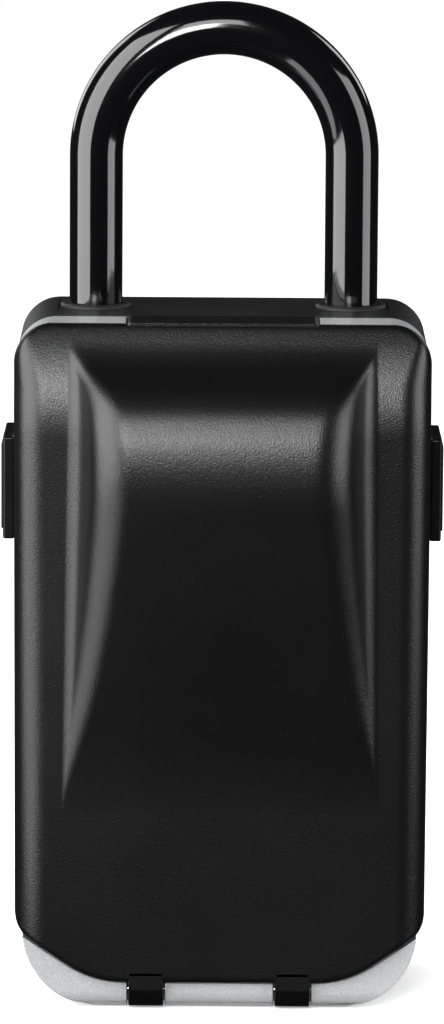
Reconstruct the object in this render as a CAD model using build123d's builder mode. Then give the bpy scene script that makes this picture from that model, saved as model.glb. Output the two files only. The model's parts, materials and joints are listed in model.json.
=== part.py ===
from build123d import *
from math import sqrt
import os

# Portable key safe with a shackle, in millimetres.
# x runs to the right, y to the back and z up. The origin is under the middle of the case.

# Case
case_width = 82.4
case_taper = 3.2
case_height = 138.5
case_top_corner = 8.0
case_foot_corner = 16.7
housing_depth = 32.0
flange_depth = 9.5
cover_depth = 8.0
hump_rise = 11.0

# Rear half and its boot
jacket_wall = 1.6
jacket_edge = 3.0
housing_wall = 2.4
rim_depth = 2.5
shackle_block_height = 26.5
leg_boss_floor = 3.5
leg_boss_wall = 2.6
shackle_block_setback = 7.75
gasket_width = 1.3
gasket_depth = 1.5
strike_width = 3.4
strike_thickness = 2.4
strike_height = 8.0
strike_inset = 8.0
strike_setback = 2.25
strike_above_hook = 10.0
gasket_inset = 1.25

# Shackle
rod_diameter = 9.5
vinyl_wall = 0.6
leg_spacing = 51.5
shackle_clearance = 51.0
shackle_setback = 16.0
short_leg_depth = 20.0
long_leg_depth = 42.0
vinyl_end_depth = 2.5
leg_tip_chamfer = 1.2
notch_depth = 2.3
seal_wall = 1.75
seal_proud = 0.7

# Lock bar of the shackle
bar_height = 5.4
bar_depth = 10.4
bar_length = 30.0
bar_drop = 13.5
bar_travel = 4.0
bar_left = -15.0
nose_length = 16.0
nose_depth = 6.0
nose_short = 2.0
retainer_width = 42.0
retainer_height = 15.0
retainer_thickness = 1.5
release_place = -6.0
release_width = 6.0
release_thickness = 1.5
release_reach = 19.0
release_pad_depth = 5.0
release_pad_height = 8.0
release_pad_width = 12.0
retainer_screw_inset = 3.0
retainer_screw_margin = 2.6

# Door
door_wall = 2.2
back_cover_thickness = 1.5
back_cover_ledge = 1.6
back_cover_foot = 7.4
door_rim_wall = 3.4
boss_spacing = 58.0
boss_foot = 24.0
boss_drop = 8.5
boss_wall = 0.4
console_depth = 5.25
console_inset = 4.2
console_drop = 18.0
console_wall = 3.3
bezel_width = 39.0
bezel_depth = 8.4
bezel_below_wheels = 14.0
bezel_above_wheels = 13.2
bezel_wall = 2.0
bezel_flare = 3.0
bezel_corner = 3.0
bezel_taper = 18
window_height = 14.6
hinge_height = 3.2
hinge_knuckle = 2.9
hinge_pin_diameter = 2.4
hinge_pin_length = 50.0
ear_width = 5.0
ear_spacing = 41.0
pad_depth = 5.75

# Number wheels
wheel_diameter = 18.0
wheel_width = 5.0
wheel_pitch = 8.5
wheel_count = 4
wheel_drop = 34.5
wheel_show = 1.2
digits = 10
digit_groove = 0.8
hub_diameter = 6.0
gate_disc_diameter = 11.0
gate_disc_width = 2.0
gate_width = 2.0
gate_depth = 1.5
shaft_diameter = 4.0
spring_thickness = 0.5
spring_finger_width = 3.5

# Latch
latch_thickness = 1.5
latch_side_gap = 6.7
latch_below_wheels = 16.0
latch_above_wheels = 18.0
latch_setback = 1.0
latch_cut_width = 40.0
latch_cut_height = 12.0
latch_travel = 5.0
fence_width = 1.4
fence_height = 4.0
hook_width = 4.4
hook_height = 8.0
hook_drop = 15.0
hook_clearance = 0.4
hook_nose = 2.5
hook_nose_thickness = 1.8
guide_diameter = 4.0
guide_spacing = 54.0
guide_above_wheels = 11.5
lever_height = 20.6
lever_below_wheels = 9.2
lever_thickness = 2.75
lever_depth = 21.0
lever_arm_height = 6.0

# Code setting lever
reset_length = 13.0
reset_width = 5.0
reset_thickness = 2.2
reset_height = 60.0
reset_pin_diameter = 3.6

# Cover
cover_overhang = 0.6
cover_taper = 0.8
cover_wall = 2.0
cover_side_edge = 6.0
cover_foot_height = 6.0
cover_shoulder_foot = 16.7
cover_foot_flat = 50.8
cover_foot_bend = 20.0
cover_foot_corner = 5.0
cover_top_round = 22.0
cover_top_radius = 38.0
hump_foot_width = 63.0
hump_top_width = 60.6
hump_foot = 47.0
hump_drop = 3.0
hump_crest_above_wheels = 15.0
hump_crest_round = 0.5
hump_wall_run = 0.955
hump_foot_edge = 5.0
hump_crest_edge = 8.0
strap_width = 7.0
strap_spacing = 29.4
strap_knuckle = 3.4
cover_hinge_height = 3.7
cover_hinge_setback = 3.0
cover_pin_diameter = 2.2
cover_pin_length = 11.0
tab_width = 38.0
tab_thickness = 2.0
tab_proud = 0.3

# Fits and gaps
fit = 0.05
bore_play = 0.1
slide_play = 0.15
guide_play = 0.2
gap = 0.3
cover_gap = 0.4
relief_reach = 10.0
screw_head = 4.4
screw_head_height = 0.7
screw_shank = 2.2
screw_length = 5.0

# Planes that the pieces share
case_foot_width = case_width - case_taper
cover_width = case_width + cover_overhang
cover_foot_width = cover_width - cover_taper
latch_width = case_width - 2 * latch_side_gap
strike_edge = case_width / 2 - strike_inset
case_depth = housing_depth + flange_depth + cover_depth + hump_rise
y_back = case_depth / 2
y_part = y_back - housing_depth
y_door_back = y_part - 0.25
y_flange = y_part - flange_depth
y_cover_back = y_flange - 0.2
y_shoulder = y_flange - cover_depth
y_console = y_flange - console_depth
y_bezel = y_console - bezel_depth
y_pad = y_flange - pad_depth
y_cavity_floor = y_back - jacket_wall - housing_wall
y_block = y_part + shackle_block_setback
y_shackle = y_back - shackle_setback
z_block = case_height - shackle_block_height
z_bar = case_height - bar_drop
leg_boss_foot = case_height - long_leg_depth - leg_boss_floor
boss_top = case_height - boss_drop
console_top = case_height - console_drop
wheel_height = case_height - wheel_drop
bezel_foot = wheel_height - bezel_below_wheels
bezel_top = wheel_height + bezel_above_wheels
latch_foot = wheel_height - latch_below_wheels
latch_top = wheel_height + latch_above_wheels
guide_height = wheel_height + guide_above_wheels
lever_foot = wheel_height - lever_below_wheels
hook_foot = latch_foot - hook_drop
strike_foot = hook_foot + strike_above_hook
hump_top = case_height - hump_drop
hump_crest = wheel_height + hump_crest_above_wheels
x_leg = leg_spacing / 2
rod_radius = rod_diameter / 2
coat_radius = rod_radius + vinyl_wall
y_wheel = y_bezel - wheel_show + wheel_diameter / 2
y_hinge = y_part - hinge_height
y_cover_hinge = y_flange - cover_hinge_setback
cover_screw_places = [(x * boss_spacing / 2, z) for x in (-1, 1) for z in (boss_foot, boss_top)]
wheel_places = [(number - (wheel_count - 1) / 2) * wheel_pitch for number in range(wheel_count)]

os.makedirs("parts", exist_ok=True)


def finish_piece(piece, name):
    """Label a finished piece and write it as its own file."""
    piece.part.label = name
    export_step(piece.part, f"parts/{name}.step")


def front_plane(y):
    """Upright plane at depth y, seen from the front, whose extrusions run forward."""
    return Plane.XZ.offset(-y)


def case_face(y, inset=0.0, foot=0.0, top=case_height):
    """Front view of the case at depth y, drawn in by an inset and kept between two heights."""
    with BuildSketch(front_plane(y)) as face:
        with BuildLine():
            Polyline(
                (-case_foot_width / 2, 0),
                (case_foot_width / 2, 0),
                (case_width / 2, case_height),
                (-case_width / 2, case_height),
                close=True,
            )
        make_face()
        fillet(face.vertices().group_by(Axis.Y)[-1], case_top_corner)
        fillet(face.vertices().group_by(Axis.Y)[0], case_foot_corner)
        if inset > 0:
            offset(amount=-inset)
        if foot > 0 or top < case_height:
            with Locations((0, foot)):
                Rectangle(
                    2 * case_width, top - foot, align=(Align.CENTER, Align.MIN), mode=Mode.INTERSECT
                )
    return face.sketch


def cover_face(y, inset=0.0, spread=0.0, drop=0.0):
    """Front view of the cover, drawn in at sides and top, spread outward or dropped at its foot."""
    top = case_height - inset + spread
    half_top = cover_width / 2 - inset + spread
    half_foot = cover_foot_width / 2 - inset + spread
    foot = cover_foot_height - spread - drop
    shoulder_foot = cover_shoulder_foot - spread - drop
    with BuildSketch(front_plane(y)) as face:
        with BuildLine():
            FilletPolyline(
                (-half_top, top),
                (-half_foot, shoulder_foot),
                (-cover_foot_flat / 2, foot),
                (cover_foot_flat / 2, foot),
                (half_foot, shoulder_foot),
                (half_top, top),
                radius=[
                    case_top_corner - inset,
                    cover_foot_corner,
                    cover_foot_bend,
                    cover_foot_bend,
                    cover_foot_corner,
                    case_top_corner - inset,
                ],
                close=True,
            )
        make_face()
    return face.sketch


def hump_blend(z):
    """Share of the hump's rise at height z: two ramps that run into each other in a round."""
    lower = (z - hump_foot) / (hump_crest - hump_foot)
    upper = (hump_top - z) / (hump_top - hump_crest)
    return (lower + upper - sqrt((lower - upper) ** 2 + hump_crest_round**2)) / 2


hump_peak = max(hump_blend(hump_foot + step / 2) for step in range(int(2 * (hump_top - hump_foot))))


def hump_height(z):
    """How far the hump stands out of the cover at height z."""
    return max(hump_rise * hump_blend(z) / hump_peak, 0.04)


def shoulder_depth(z):
    """Depth of the cover's plane face at height z, with its long rounding at the top."""
    climb = min(max(z - case_height + cover_top_round, 0.0), cover_top_round)
    return y_shoulder + cover_top_radius - sqrt(cover_top_radius**2 - climb**2)


def cover_section(z, inset):
    """Level section of the cover's form at height z, with its hump, drawn in by an inset."""
    share = z / case_height
    half = (cover_foot_width + (cover_width - cover_foot_width) * share) / 2 - inset
    y_face = shoulder_depth(z + inset) + inset
    rise = min(hump_height(z), hump_height(z + inset))
    hump_share = (z - hump_foot) / (hump_top - hump_foot)
    foot_half = (hump_foot_width + (hump_top_width - hump_foot_width) * hump_share) / 2 - 0.41 * inset
    crest_half = foot_half - hump_wall_run * rise
    foot_edge = min(hump_foot_edge, 1.2 * rise)
    crest_edge = min(hump_crest_edge, 1.9 * rise)
    side_edge = min(cover_side_edge - inset, 0.8 * max(y_cover_back + 1 - y_face, 0.2))
    with BuildSketch(Plane.XY.offset(z)) as section:
        with BuildLine():
            FilletPolyline(
                (-half, y_part),
                (-half, y_face),
                (-foot_half, y_face),
                (-crest_half, y_face - rise),
                (crest_half, y_face - rise),
                (foot_half, y_face),
                (half, y_face),
                (half, y_part),
                radius=[0, side_edge, foot_edge, crest_edge, crest_edge, foot_edge, side_edge, 0],
                close=True,
            )
        make_face()
    return section.sketch


def cover_form(inset=0.0, drop=0.0):
    """Solid bounded by the cover's skin, or by a skin drawn in by an inset."""
    stations = [0, hump_foot] + [hump_crest - below for below in (36, 28, 22, 17, 13, 9, 6, 3)]
    stations += [hump_crest + (hump_top - hump_crest) * step / 6 for step in range(7)]
    stations += [case_height - below for below in (1.5, 0.6, 0)]
    with BuildPart() as form:
        loft([cover_section(z, inset) for z in stations], ruled=True)
        extrude(
            cover_face(y_cover_back, inset, drop=drop),
            amount=cover_depth + hump_rise + 5,
            mode=Mode.INTERSECT,
        )
    return form.part


# Die-cast rear half, with a key space and a block for the shackle
with BuildPart() as rear_housing:
    extrude(case_face(y_part + rim_depth), amount=rim_depth)
    extrude(
        case_face(y_back - jacket_wall, inset=jacket_wall),
        amount=housing_depth - jacket_wall,
    )
    space_inset = jacket_wall + housing_wall
    extrude(
        case_face(y_cavity_floor, space_inset, top=z_block),
        amount=y_cavity_floor - y_part,
        mode=Mode.SUBTRACT,
    )
    extrude(case_face(y_block, space_inset), amount=y_block - y_part, mode=Mode.SUBTRACT)
    # Boss of the long leg, joined to the side and back walls
    with BuildSketch(Plane.XY.offset(leg_boss_foot)) as leg_boss:
        with Locations((-x_leg, y_shackle)):
            Circle(rod_radius + bore_play + leg_boss_wall)
            Rectangle(case_width / 2 - x_leg - 3, 2 * rod_radius, align=(Align.MAX, Align.CENTER))
            Rectangle(2 * rod_radius, y_cavity_floor - y_shackle + 1, align=(Align.CENTER, Align.MIN))
    extrude(amount=z_block - leg_boss_foot + 1)
    # Groove of the gasket
    with BuildSketch(front_plane(y_part + gasket_depth)) as groove:
        add(case_face(y_part + gasket_depth, gasket_inset))
        groove_inset = gasket_inset + gasket_width + 2 * fit
        add(case_face(y_part + gasket_depth, groove_inset), mode=Mode.SUBTRACT)
    extrude(amount=gasket_depth, mode=Mode.SUBTRACT)
    # Bores for the two legs, with wide mouths for the coated part
    with Locations((x_leg, y_shackle, case_height)):
        Cylinder(
            rod_radius + bore_play,
            short_leg_depth + 1,
            align=(Align.CENTER, Align.CENTER, Align.MAX),
            mode=Mode.SUBTRACT,
        )
    with Locations((-x_leg, y_shackle, case_height)):
        Cylinder(
            rod_radius + bore_play,
            long_leg_depth + 1,
            align=(Align.CENTER, Align.CENTER, Align.MAX),
            mode=Mode.SUBTRACT,
        )
    with Locations((x_leg, y_shackle, case_height), (-x_leg, y_shackle, case_height)):
        Cylinder(
            coat_radius + bore_play,
            vinyl_end_depth + 1,
            align=(Align.CENTER, Align.CENTER, Align.MAX),
            mode=Mode.SUBTRACT,
        )
    # Channel of the lock bar, and the seat of its retainer
    y_retainer_back = y_block + retainer_thickness
    with BuildSketch(front_plane(y_retainer_back)) as retainer_seat:
        with Locations((0, z_bar)):
            Rectangle(retainer_width + 2 * bore_play, retainer_height + 2 * bore_play)
    extrude(amount=retainer_thickness, mode=Mode.SUBTRACT)
    y_bar_back = y_retainer_back + bar_depth + 2 * slide_play
    channel_end = x_leg - rod_radius + notch_depth
    with BuildSketch(front_plane(y_bar_back)) as channel:
        with Locations((bar_left - 0.5, z_bar)):
            Rectangle(
                channel_end - bar_left + 0.5,
                bar_height + 2 * slide_play,
                align=(Align.MIN, Align.CENTER),
            )
    extrude(amount=y_bar_back - y_retainer_back, mode=Mode.SUBTRACT)
    screw_places = [
        (
            x * (retainer_width / 2 - retainer_screw_inset),
            z_bar + z * (retainer_height / 2 - retainer_screw_margin),
        )
        for x in (-1, 1)
        for z in (-1, 1)
    ]
    with BuildSketch(front_plane(y_retainer_back + screw_length)) as screw_holes:
        with Locations(*screw_places):
            Circle(screw_shank / 2)
    extrude(amount=screw_length, mode=Mode.SUBTRACT)
    # Strikes for the latch hooks
    with BuildSketch(front_plane(y_part + strike_setback + strike_thickness)) as strikes:
        with Locations(
            (strike_edge + strike_width / 2, strike_foot + strike_height / 2),
            (-strike_edge - strike_width / 2, strike_foot + strike_height / 2),
        ):
            Rectangle(strike_width + 0.6, strike_height)
    extrude(amount=strike_thickness)
    # Ears of the door hinge
    for side in (-1, 1):
        with BuildSketch(Plane.YZ.offset(side * ear_spacing / 2)) as ear:
            with Locations((y_hinge, hinge_height)):
                Circle(hinge_knuckle)
            with Locations(((y_hinge + y_part) / 2, hinge_height)):
                Rectangle(hinge_height, 2 * hinge_knuckle)
            with Locations((y_hinge, hinge_height)):
                Circle(hinge_pin_diameter / 2, mode=Mode.SUBTRACT)
        extrude(amount=ear_width / 2, both=True)
finish_piece(rear_housing, "rear_housing")

# Moulded boot over the sides and back
with BuildPart() as rear_jacket:
    extrude(case_face(y_back), amount=housing_depth - rim_depth)
    fillet(rear_jacket.faces().sort_by(Axis.Y)[-1].edges(), jacket_edge)
    extrude(
        case_face(y_back - jacket_wall, jacket_wall),
        amount=housing_depth,
        mode=Mode.SUBTRACT,
    )
    with Locations((x_leg, y_shackle, case_height), (-x_leg, y_shackle, case_height)):
        Cylinder(coat_radius + bore_play + seal_wall, 3 * jacket_wall, mode=Mode.SUBTRACT)
finish_piece(rear_jacket, "rear_jacket")

# Rings that seal the feet of the shackle
with BuildPart() as shackle_seals:
    with BuildSketch(Plane.XY.offset(case_height - jacket_wall)) as ring:
        with Locations((x_leg, y_shackle), (-x_leg, y_shackle)):
            Circle(coat_radius + fit + seal_wall)
            Circle(coat_radius + bore_play, mode=Mode.SUBTRACT)
    extrude(amount=jacket_wall + seal_proud)
    chamfer(
        shackle_seals.faces().sort_by(Axis.Z)[-2:].edges().filter_by(
            lambda edge: edge.radius > coat_radius + 1
        ),
        0.4,
    )
finish_piece(shackle_seals, "shackle_seals")

# Gasket in the rim
with BuildPart() as door_gasket:
    with BuildSketch(front_plane(y_part + gasket_depth)) as loop:
        add(case_face(y_part + gasket_depth, gasket_inset + fit))
        loop_inset = gasket_inset + fit + gasket_width
        add(case_face(y_part + gasket_depth, loop_inset), mode=Mode.SUBTRACT)
    extrude(amount=gasket_depth + 0.15)
    # It runs flush behind the hinge ears
    with Locations(
        (ear_spacing / 2, y_part, hinge_height), (-ear_spacing / 2, y_part, hinge_height)
    ):
        Box(
            ear_width + 2 * gap,
            2.0,
            4 * hinge_height,
            align=(Align.CENTER, Align.MAX, Align.CENTER),
            mode=Mode.SUBTRACT,
        )
finish_piece(door_gasket, "door_gasket")

# Plate over the lock bar
with BuildPart() as bar_retainer:
    with BuildSketch(front_plane(y_block + retainer_thickness)) as plate:
        with Locations((0, z_bar)):
            Rectangle(retainer_width, retainer_height)
        fillet(plate.vertices(), 2.0)
        with Locations((release_place + bar_travel / 2, z_bar)):
            Rectangle(
                release_width + bar_travel + 2 * gap, release_width + 2 * gap, mode=Mode.SUBTRACT
            )
        with Locations(*screw_places):
            Circle(screw_shank / 2 + bore_play, mode=Mode.SUBTRACT)
    extrude(amount=retainer_thickness)
finish_piece(bar_retainer, "bar_retainer")

with BuildPart() as retainer_screws:
    with BuildSketch(front_plane(y_block)) as heads:
        with Locations(*screw_places):
            Circle(screw_head / 2)
    extrude(amount=screw_head_height)
    chamfer(retainer_screws.faces().sort_by(Axis.Y)[0:4].edges(), 0.3)
    with BuildSketch(front_plane(y_block)) as shanks:
        with Locations(*screw_places):
            Circle(screw_shank / 2 - fit)
    extrude(amount=-(retainer_thickness + screw_length - 1))
finish_piece(retainer_screws, "retainer_screws")

# Pin on which the door swings
with BuildPart() as door_hinge_pin:
    with BuildSketch(Plane.YZ.offset(-hinge_pin_length / 2)) as pin:
        with Locations((y_hinge, hinge_height)):
            Circle(hinge_pin_diameter / 2 - fit)
    extrude(amount=hinge_pin_length)
finish_piece(door_hinge_pin, "door_hinge_pin")


def bow(radius, left_foot, right_foot):
    """Round bar bent to the shackle's bow, each leg going down to its own height."""
    z_bend = case_height + shackle_clearance + coat_radius - leg_spacing / 2
    with BuildPart() as bar:
        with BuildSketch(Plane.XY.offset(left_foot)) as left:
            with Locations((-x_leg, y_shackle)):
                Circle(radius)
        extrude(amount=z_bend - left_foot)
        with BuildSketch(Plane.XY.offset(right_foot)) as right:
            with Locations((x_leg, y_shackle)):
                Circle(radius)
        extrude(amount=z_bend - right_foot)
        with BuildSketch(Plane.XY.offset(z_bend)) as bend_end:
            with Locations((x_leg, y_shackle)):
                Circle(radius)
        revolve(axis=Axis((0, y_shackle, z_bend), (0, -1, 0)), revolution_arc=180)
    return bar.part


# Steel bow of the shackle
with BuildPart() as shackle_core:
    add(bow(rod_radius, case_height - long_leg_depth, case_height - short_leg_depth))
    chamfer(shackle_core.faces().filter_by(Axis.Z).edges(), leg_tip_chamfer)
    with Locations((x_leg - rod_radius + notch_depth / 2, y_shackle, z_bar)):
        Box(notch_depth, rod_diameter, bar_height + 1, mode=Mode.SUBTRACT)
finish_piece(shackle_core, "shackle_core")

# Vinyl coat of the shackle
with BuildPart() as shackle_sleeve:
    coat_foot = case_height - vinyl_end_depth
    add(bow(coat_radius, coat_foot, coat_foot))
    add(bow(rod_radius + fit, coat_foot, coat_foot), mode=Mode.SUBTRACT)
finish_piece(shackle_sleeve, "shackle_sleeve")

# Bar that holds the short leg
with BuildPart() as lock_bar:
    y_bar_front = y_block + retainer_thickness + slide_play
    nose_tip = x_leg - rod_radius - nose_short
    with BuildSketch(Plane.XY.offset(z_bar - bar_height / 2)) as bar_plan:
        with Locations((bar_left, y_bar_front)):
            Rectangle(bar_length, bar_depth, align=Align.MIN)
        with Locations((nose_tip, y_shackle)):
            Rectangle(nose_length, nose_depth, align=(Align.MAX, Align.CENTER))
    extrude(amount=bar_height)
    chamfer(lock_bar.faces().sort_by(Axis.X)[-1].edges().filter_by(Axis.Z), 1.0)
finish_piece(lock_bar, "lock_bar")

# Finger tab of the lock bar
with BuildPart() as release_tab:
    y_tab_back = y_block - gap
    with BuildSketch(front_plane(y_bar_front)) as stem:
        with Locations((release_place, z_bar)):
            Rectangle(release_width, bar_height - 0.4)
    extrude(amount=y_bar_front - y_tab_back)
    with BuildSketch(front_plane(y_tab_back)) as strip:
        with Locations((release_place, z_bar + bar_height / 2 - 0.2)):
            Rectangle(release_width, release_reach, align=(Align.CENTER, Align.MAX))
    extrude(amount=release_thickness)
    with BuildSketch(front_plane(y_tab_back + release_pad_depth)) as pad:
        with Locations((release_place, z_bar + bar_height / 2 - 0.2 - release_reach)):
            Rectangle(release_pad_width, release_pad_height, align=(Align.CENTER, Align.MAX))
        fillet(pad.vertices(), 1.5)
    extrude(amount=release_pad_depth + release_thickness)
finish_piece(release_tab, "release_tab")

# Die-cast door, with the console, the bezel of the wheels and the foot pads
with BuildPart() as door_casting:
    extrude(case_face(y_door_back), amount=y_door_back - y_flange)
    extrude(case_face(y_flange, console_inset, top=console_top), amount=console_depth)
    chamfer(door_casting.faces().sort_by(Axis.Y)[0].edges(), 1.0)
    # Pads below the cover
    with BuildSketch(front_plane(y_flange)) as pads:
        add(case_face(y_flange, 0.15, top=cover_shoulder_foot + 5))
        add(cover_face(y_flange, spread=cover_gap), mode=Mode.SUBTRACT)
    extrude(amount=pad_depth)
    # Bezel round the wheels, tapered to fit the hump
    with BuildSketch(front_plane(y_console)) as bezel:
        with Locations((0, (bezel_foot + bezel_top) / 2)):
            Rectangle(bezel_width + 2 * bezel_flare, bezel_top - bezel_foot + 4)
        fillet(bezel.vertices(), bezel_corner)
    extrude(amount=bezel_depth, taper=bezel_taper)
    # Mechanism space, open to the back
    extrude(
        case_face(y_flange + door_wall, door_rim_wall + back_cover_ledge, foot=back_cover_foot + 1.6),
        amount=-(y_door_back - y_flange - door_wall),
        mode=Mode.SUBTRACT,
    )
    extrude(
        case_face(y_door_back, door_rim_wall, foot=back_cover_foot),
        amount=back_cover_thickness,
        mode=Mode.SUBTRACT,
    )
    extrude(
        case_face(
            y_flange + door_wall,
            console_inset + console_wall,
            foot=back_cover_foot + 1.6,
            top=console_top - door_wall,
        ),
        amount=console_depth,
        mode=Mode.SUBTRACT,
    )
    with BuildSketch(front_plane(y_flange + door_wall)) as wheel_room:
        with Locations((0, (bezel_foot + bezel_top) / 2)):
            Rectangle(bezel_width - 2 * bezel_wall, bezel_top - bezel_foot - 2 * bezel_wall)
    extrude(amount=y_flange + door_wall - y_bezel - bezel_wall, mode=Mode.SUBTRACT)
    # Windows of the wheels
    with BuildSketch(front_plane(y_console + bezel_wall)) as windows:
        with Locations(*[(x, wheel_height) for x in wheel_places]):
            Rectangle(wheel_width + 2 * gap, window_height)
    extrude(amount=bezel_depth + 4, mode=Mode.SUBTRACT)
    # Holes of the wheel shaft
    with BuildSketch(Plane.YZ.offset(-bezel_width / 2 + 0.4)) as shaft_hole:
        with Locations((y_wheel, wheel_height)):
            Circle(shaft_diameter / 2 + fit)
    extrude(amount=bezel_width - 0.8, mode=Mode.SUBTRACT)
    # Bosses of the back cover's screws, the lower two standing in the console
    y_plate = y_door_back - back_cover_thickness
    for z, y_wall in ((boss_foot, y_console + door_wall), (boss_top, y_flange + door_wall)):
        with BuildSketch(front_plane(y_plate)) as bosses:
            with Locations((-boss_spacing / 2, z), (boss_spacing / 2, z)):
                Circle(screw_head / 2 + boss_wall)
                Circle(screw_shank / 2, mode=Mode.SUBTRACT)
        extrude(amount=y_plate - y_wall)
    # Guide posts of the latch
    with BuildSketch(front_plane(y_plate - gap)) as posts:
        with Locations((-guide_spacing / 2, guide_height), (guide_spacing / 2, guide_height)):
            Circle(guide_diameter / 2)
    extrude(amount=y_plate - gap - y_console - door_wall)
    # Slots through which the side levers reach in
    y_latch_back = y_door_back - back_cover_thickness - latch_setback
    y_latch_front = y_latch_back - latch_thickness
    z_arm = lever_foot + lever_height / 2
    with BuildSketch(Plane.YZ.offset(-case_width)) as slot:
        with Locations(((y_latch_back + y_latch_front) / 2, z_arm + latch_travel / 2)):
            Rectangle(latch_thickness + 2 * gap, lever_arm_height + latch_travel + 2 * gap)
    extrude(amount=2 * case_width, mode=Mode.SUBTRACT)
    # Round the lower back edge about the hinge, and clear its ears and pin
    with BuildSketch(Plane.YZ.offset(-case_width)) as foot_relief:
        with Locations((y_hinge, 0)):
            Rectangle(2 * hinge_height, hinge_height, align=(Align.MIN, Align.MIN))
        with Locations((y_hinge, hinge_height)):
            Circle(hinge_knuckle, mode=Mode.SUBTRACT)
    extrude(amount=2 * case_width, mode=Mode.SUBTRACT)
    with BuildSketch(Plane.YZ.offset(-case_width)) as foot_level:
        with Locations((y_cover_hinge - 2 * relief_reach, 0)):
            Rectangle(
                4 * relief_reach, hinge_height - hinge_knuckle, align=(Align.MIN, Align.MIN)
            )
    extrude(amount=2 * case_width, mode=Mode.SUBTRACT)
    ear_gap = 2 * (hinge_knuckle + gap)
    for side in (-1, 1):
        with BuildSketch(Plane.YZ.offset(side * ear_spacing / 2)) as ear_room:
            with Locations((y_hinge, hinge_height)):
                Circle(ear_gap / 2)
                Rectangle(4 * hinge_height, ear_gap, align=(Align.MIN, Align.CENTER))
                Rectangle(ear_gap, 2 * hinge_height, align=(Align.CENTER, Align.MAX))
        extrude(amount=ear_width / 2 + gap, both=True, mode=Mode.SUBTRACT)
    with BuildSketch(Plane.YZ.offset(-hinge_pin_length / 2 - fit)) as pin_bore:
        with Locations((y_hinge, hinge_height)):
            Circle(hinge_pin_diameter / 2)
    extrude(amount=hinge_pin_length + case_width / 2, mode=Mode.SUBTRACT)
    # Round the pads' lower front edge about the cover hinge
    with BuildSketch(Plane.YZ.offset(-case_width)) as pad_relief:
        with Locations((y_cover_hinge, cover_hinge_height)):
            Rectangle(relief_reach, relief_reach, align=(Align.MAX, Align.MAX))
        with Locations((y_cover_hinge, cover_hinge_height)):
            Circle(y_cover_hinge - y_pad, mode=Mode.SUBTRACT)
    extrude(amount=2 * case_width, mode=Mode.SUBTRACT)
    # Slots for the straps of the cover
    strap_gap = 2 * (strap_knuckle + gap)
    for side in (-1, 1):
        with BuildSketch(Plane.YZ.offset(side * strap_spacing / 2)) as strap_room:
            with Locations((y_cover_hinge, cover_hinge_height)):
                Circle(strap_gap / 2)
                Rectangle(2 * pad_depth, strap_gap + 4, align=(Align.MAX, Align.CENTER))
                Rectangle(strap_gap, 2 * cover_hinge_height, align=(Align.CENTER, Align.MAX))
        extrude(amount=strap_width / 2 + gap, both=True, mode=Mode.SUBTRACT)
        with BuildSketch(Plane.YZ.offset(side * strap_spacing / 2)) as cover_pin_bore:
            with Locations((y_cover_hinge, cover_hinge_height)):
                Circle(cover_pin_diameter / 2)
        extrude(amount=cover_pin_length / 2 + fit, both=True, mode=Mode.SUBTRACT)
    # Seat of the cover's finger tab
    with BuildSketch(front_plane(y_door_back)) as tab_seat:
        with Locations((0, case_height + tab_proud - tab_thickness - gap)):
            Rectangle(tab_width + 2 * gap, relief_reach, align=(Align.CENTER, Align.MIN))
    extrude(amount=flange_depth, mode=Mode.SUBTRACT)
finish_piece(door_casting, "door_casting")

# Flip cover with its hump, finger tab and hinge straps
with BuildPart() as weather_cover:
    add(cover_form())
    add(cover_form(cover_wall, drop=12), mode=Mode.SUBTRACT)
    with BuildSketch(front_plane(y_door_back - 0.1)) as finger_tab:
        with Locations((0, case_height + tab_proud)):
            Rectangle(tab_width, tab_thickness, align=(Align.CENTER, Align.MAX))
    extrude(amount=y_door_back - 0.1 - shoulder_depth(case_height) - 0.2)
    z_strap = cover_hinge_height + strap_knuckle
    for side in (-1, 1):
        with BuildSketch(Plane.YZ.offset(side * strap_spacing / 2)) as strap:
            with Locations((y_cover_hinge, cover_hinge_height)):
                Circle(strap_knuckle)
            with BuildLine():
                Polyline(
                    (y_cover_hinge, cover_hinge_height),
                    (y_cover_hinge, z_strap),
                    (y_shoulder + cover_wall, z_strap + 1.5),
                    (y_shoulder, z_strap + 1.5),
                    (y_shoulder, cover_hinge_height + 0.7),
                    (y_cover_hinge - 2.95, cover_hinge_height - 1.7),
                    close=True,
                )
            make_face()
            with Locations((y_cover_hinge, cover_hinge_height)):
                Circle(cover_pin_diameter / 2 + fit, mode=Mode.SUBTRACT)
        extrude(amount=strap_width / 2, both=True)
finish_piece(weather_cover, "weather_cover")

with BuildPart() as cover_hinge_pins:
    for side in (-1, 1):
        with BuildSketch(Plane.YZ.offset(side * strap_spacing / 2)) as cover_pin:
            with Locations((y_cover_hinge, cover_hinge_height)):
                Circle(cover_pin_diameter / 2 - fit)
        extrude(amount=cover_pin_length / 2, both=True)
finish_piece(cover_hinge_pins, "cover_hinge_pins")

# Number wheels and the gated hubs in them
with BuildPart() as dial_shaft:
    with BuildSketch(Plane.YZ) as shaft:
        with Locations((y_wheel, wheel_height)):
            Circle(shaft_diameter / 2)
    extrude(amount=bezel_width / 2 - 0.5, both=True)
finish_piece(dial_shaft, "dial_shaft")

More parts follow.
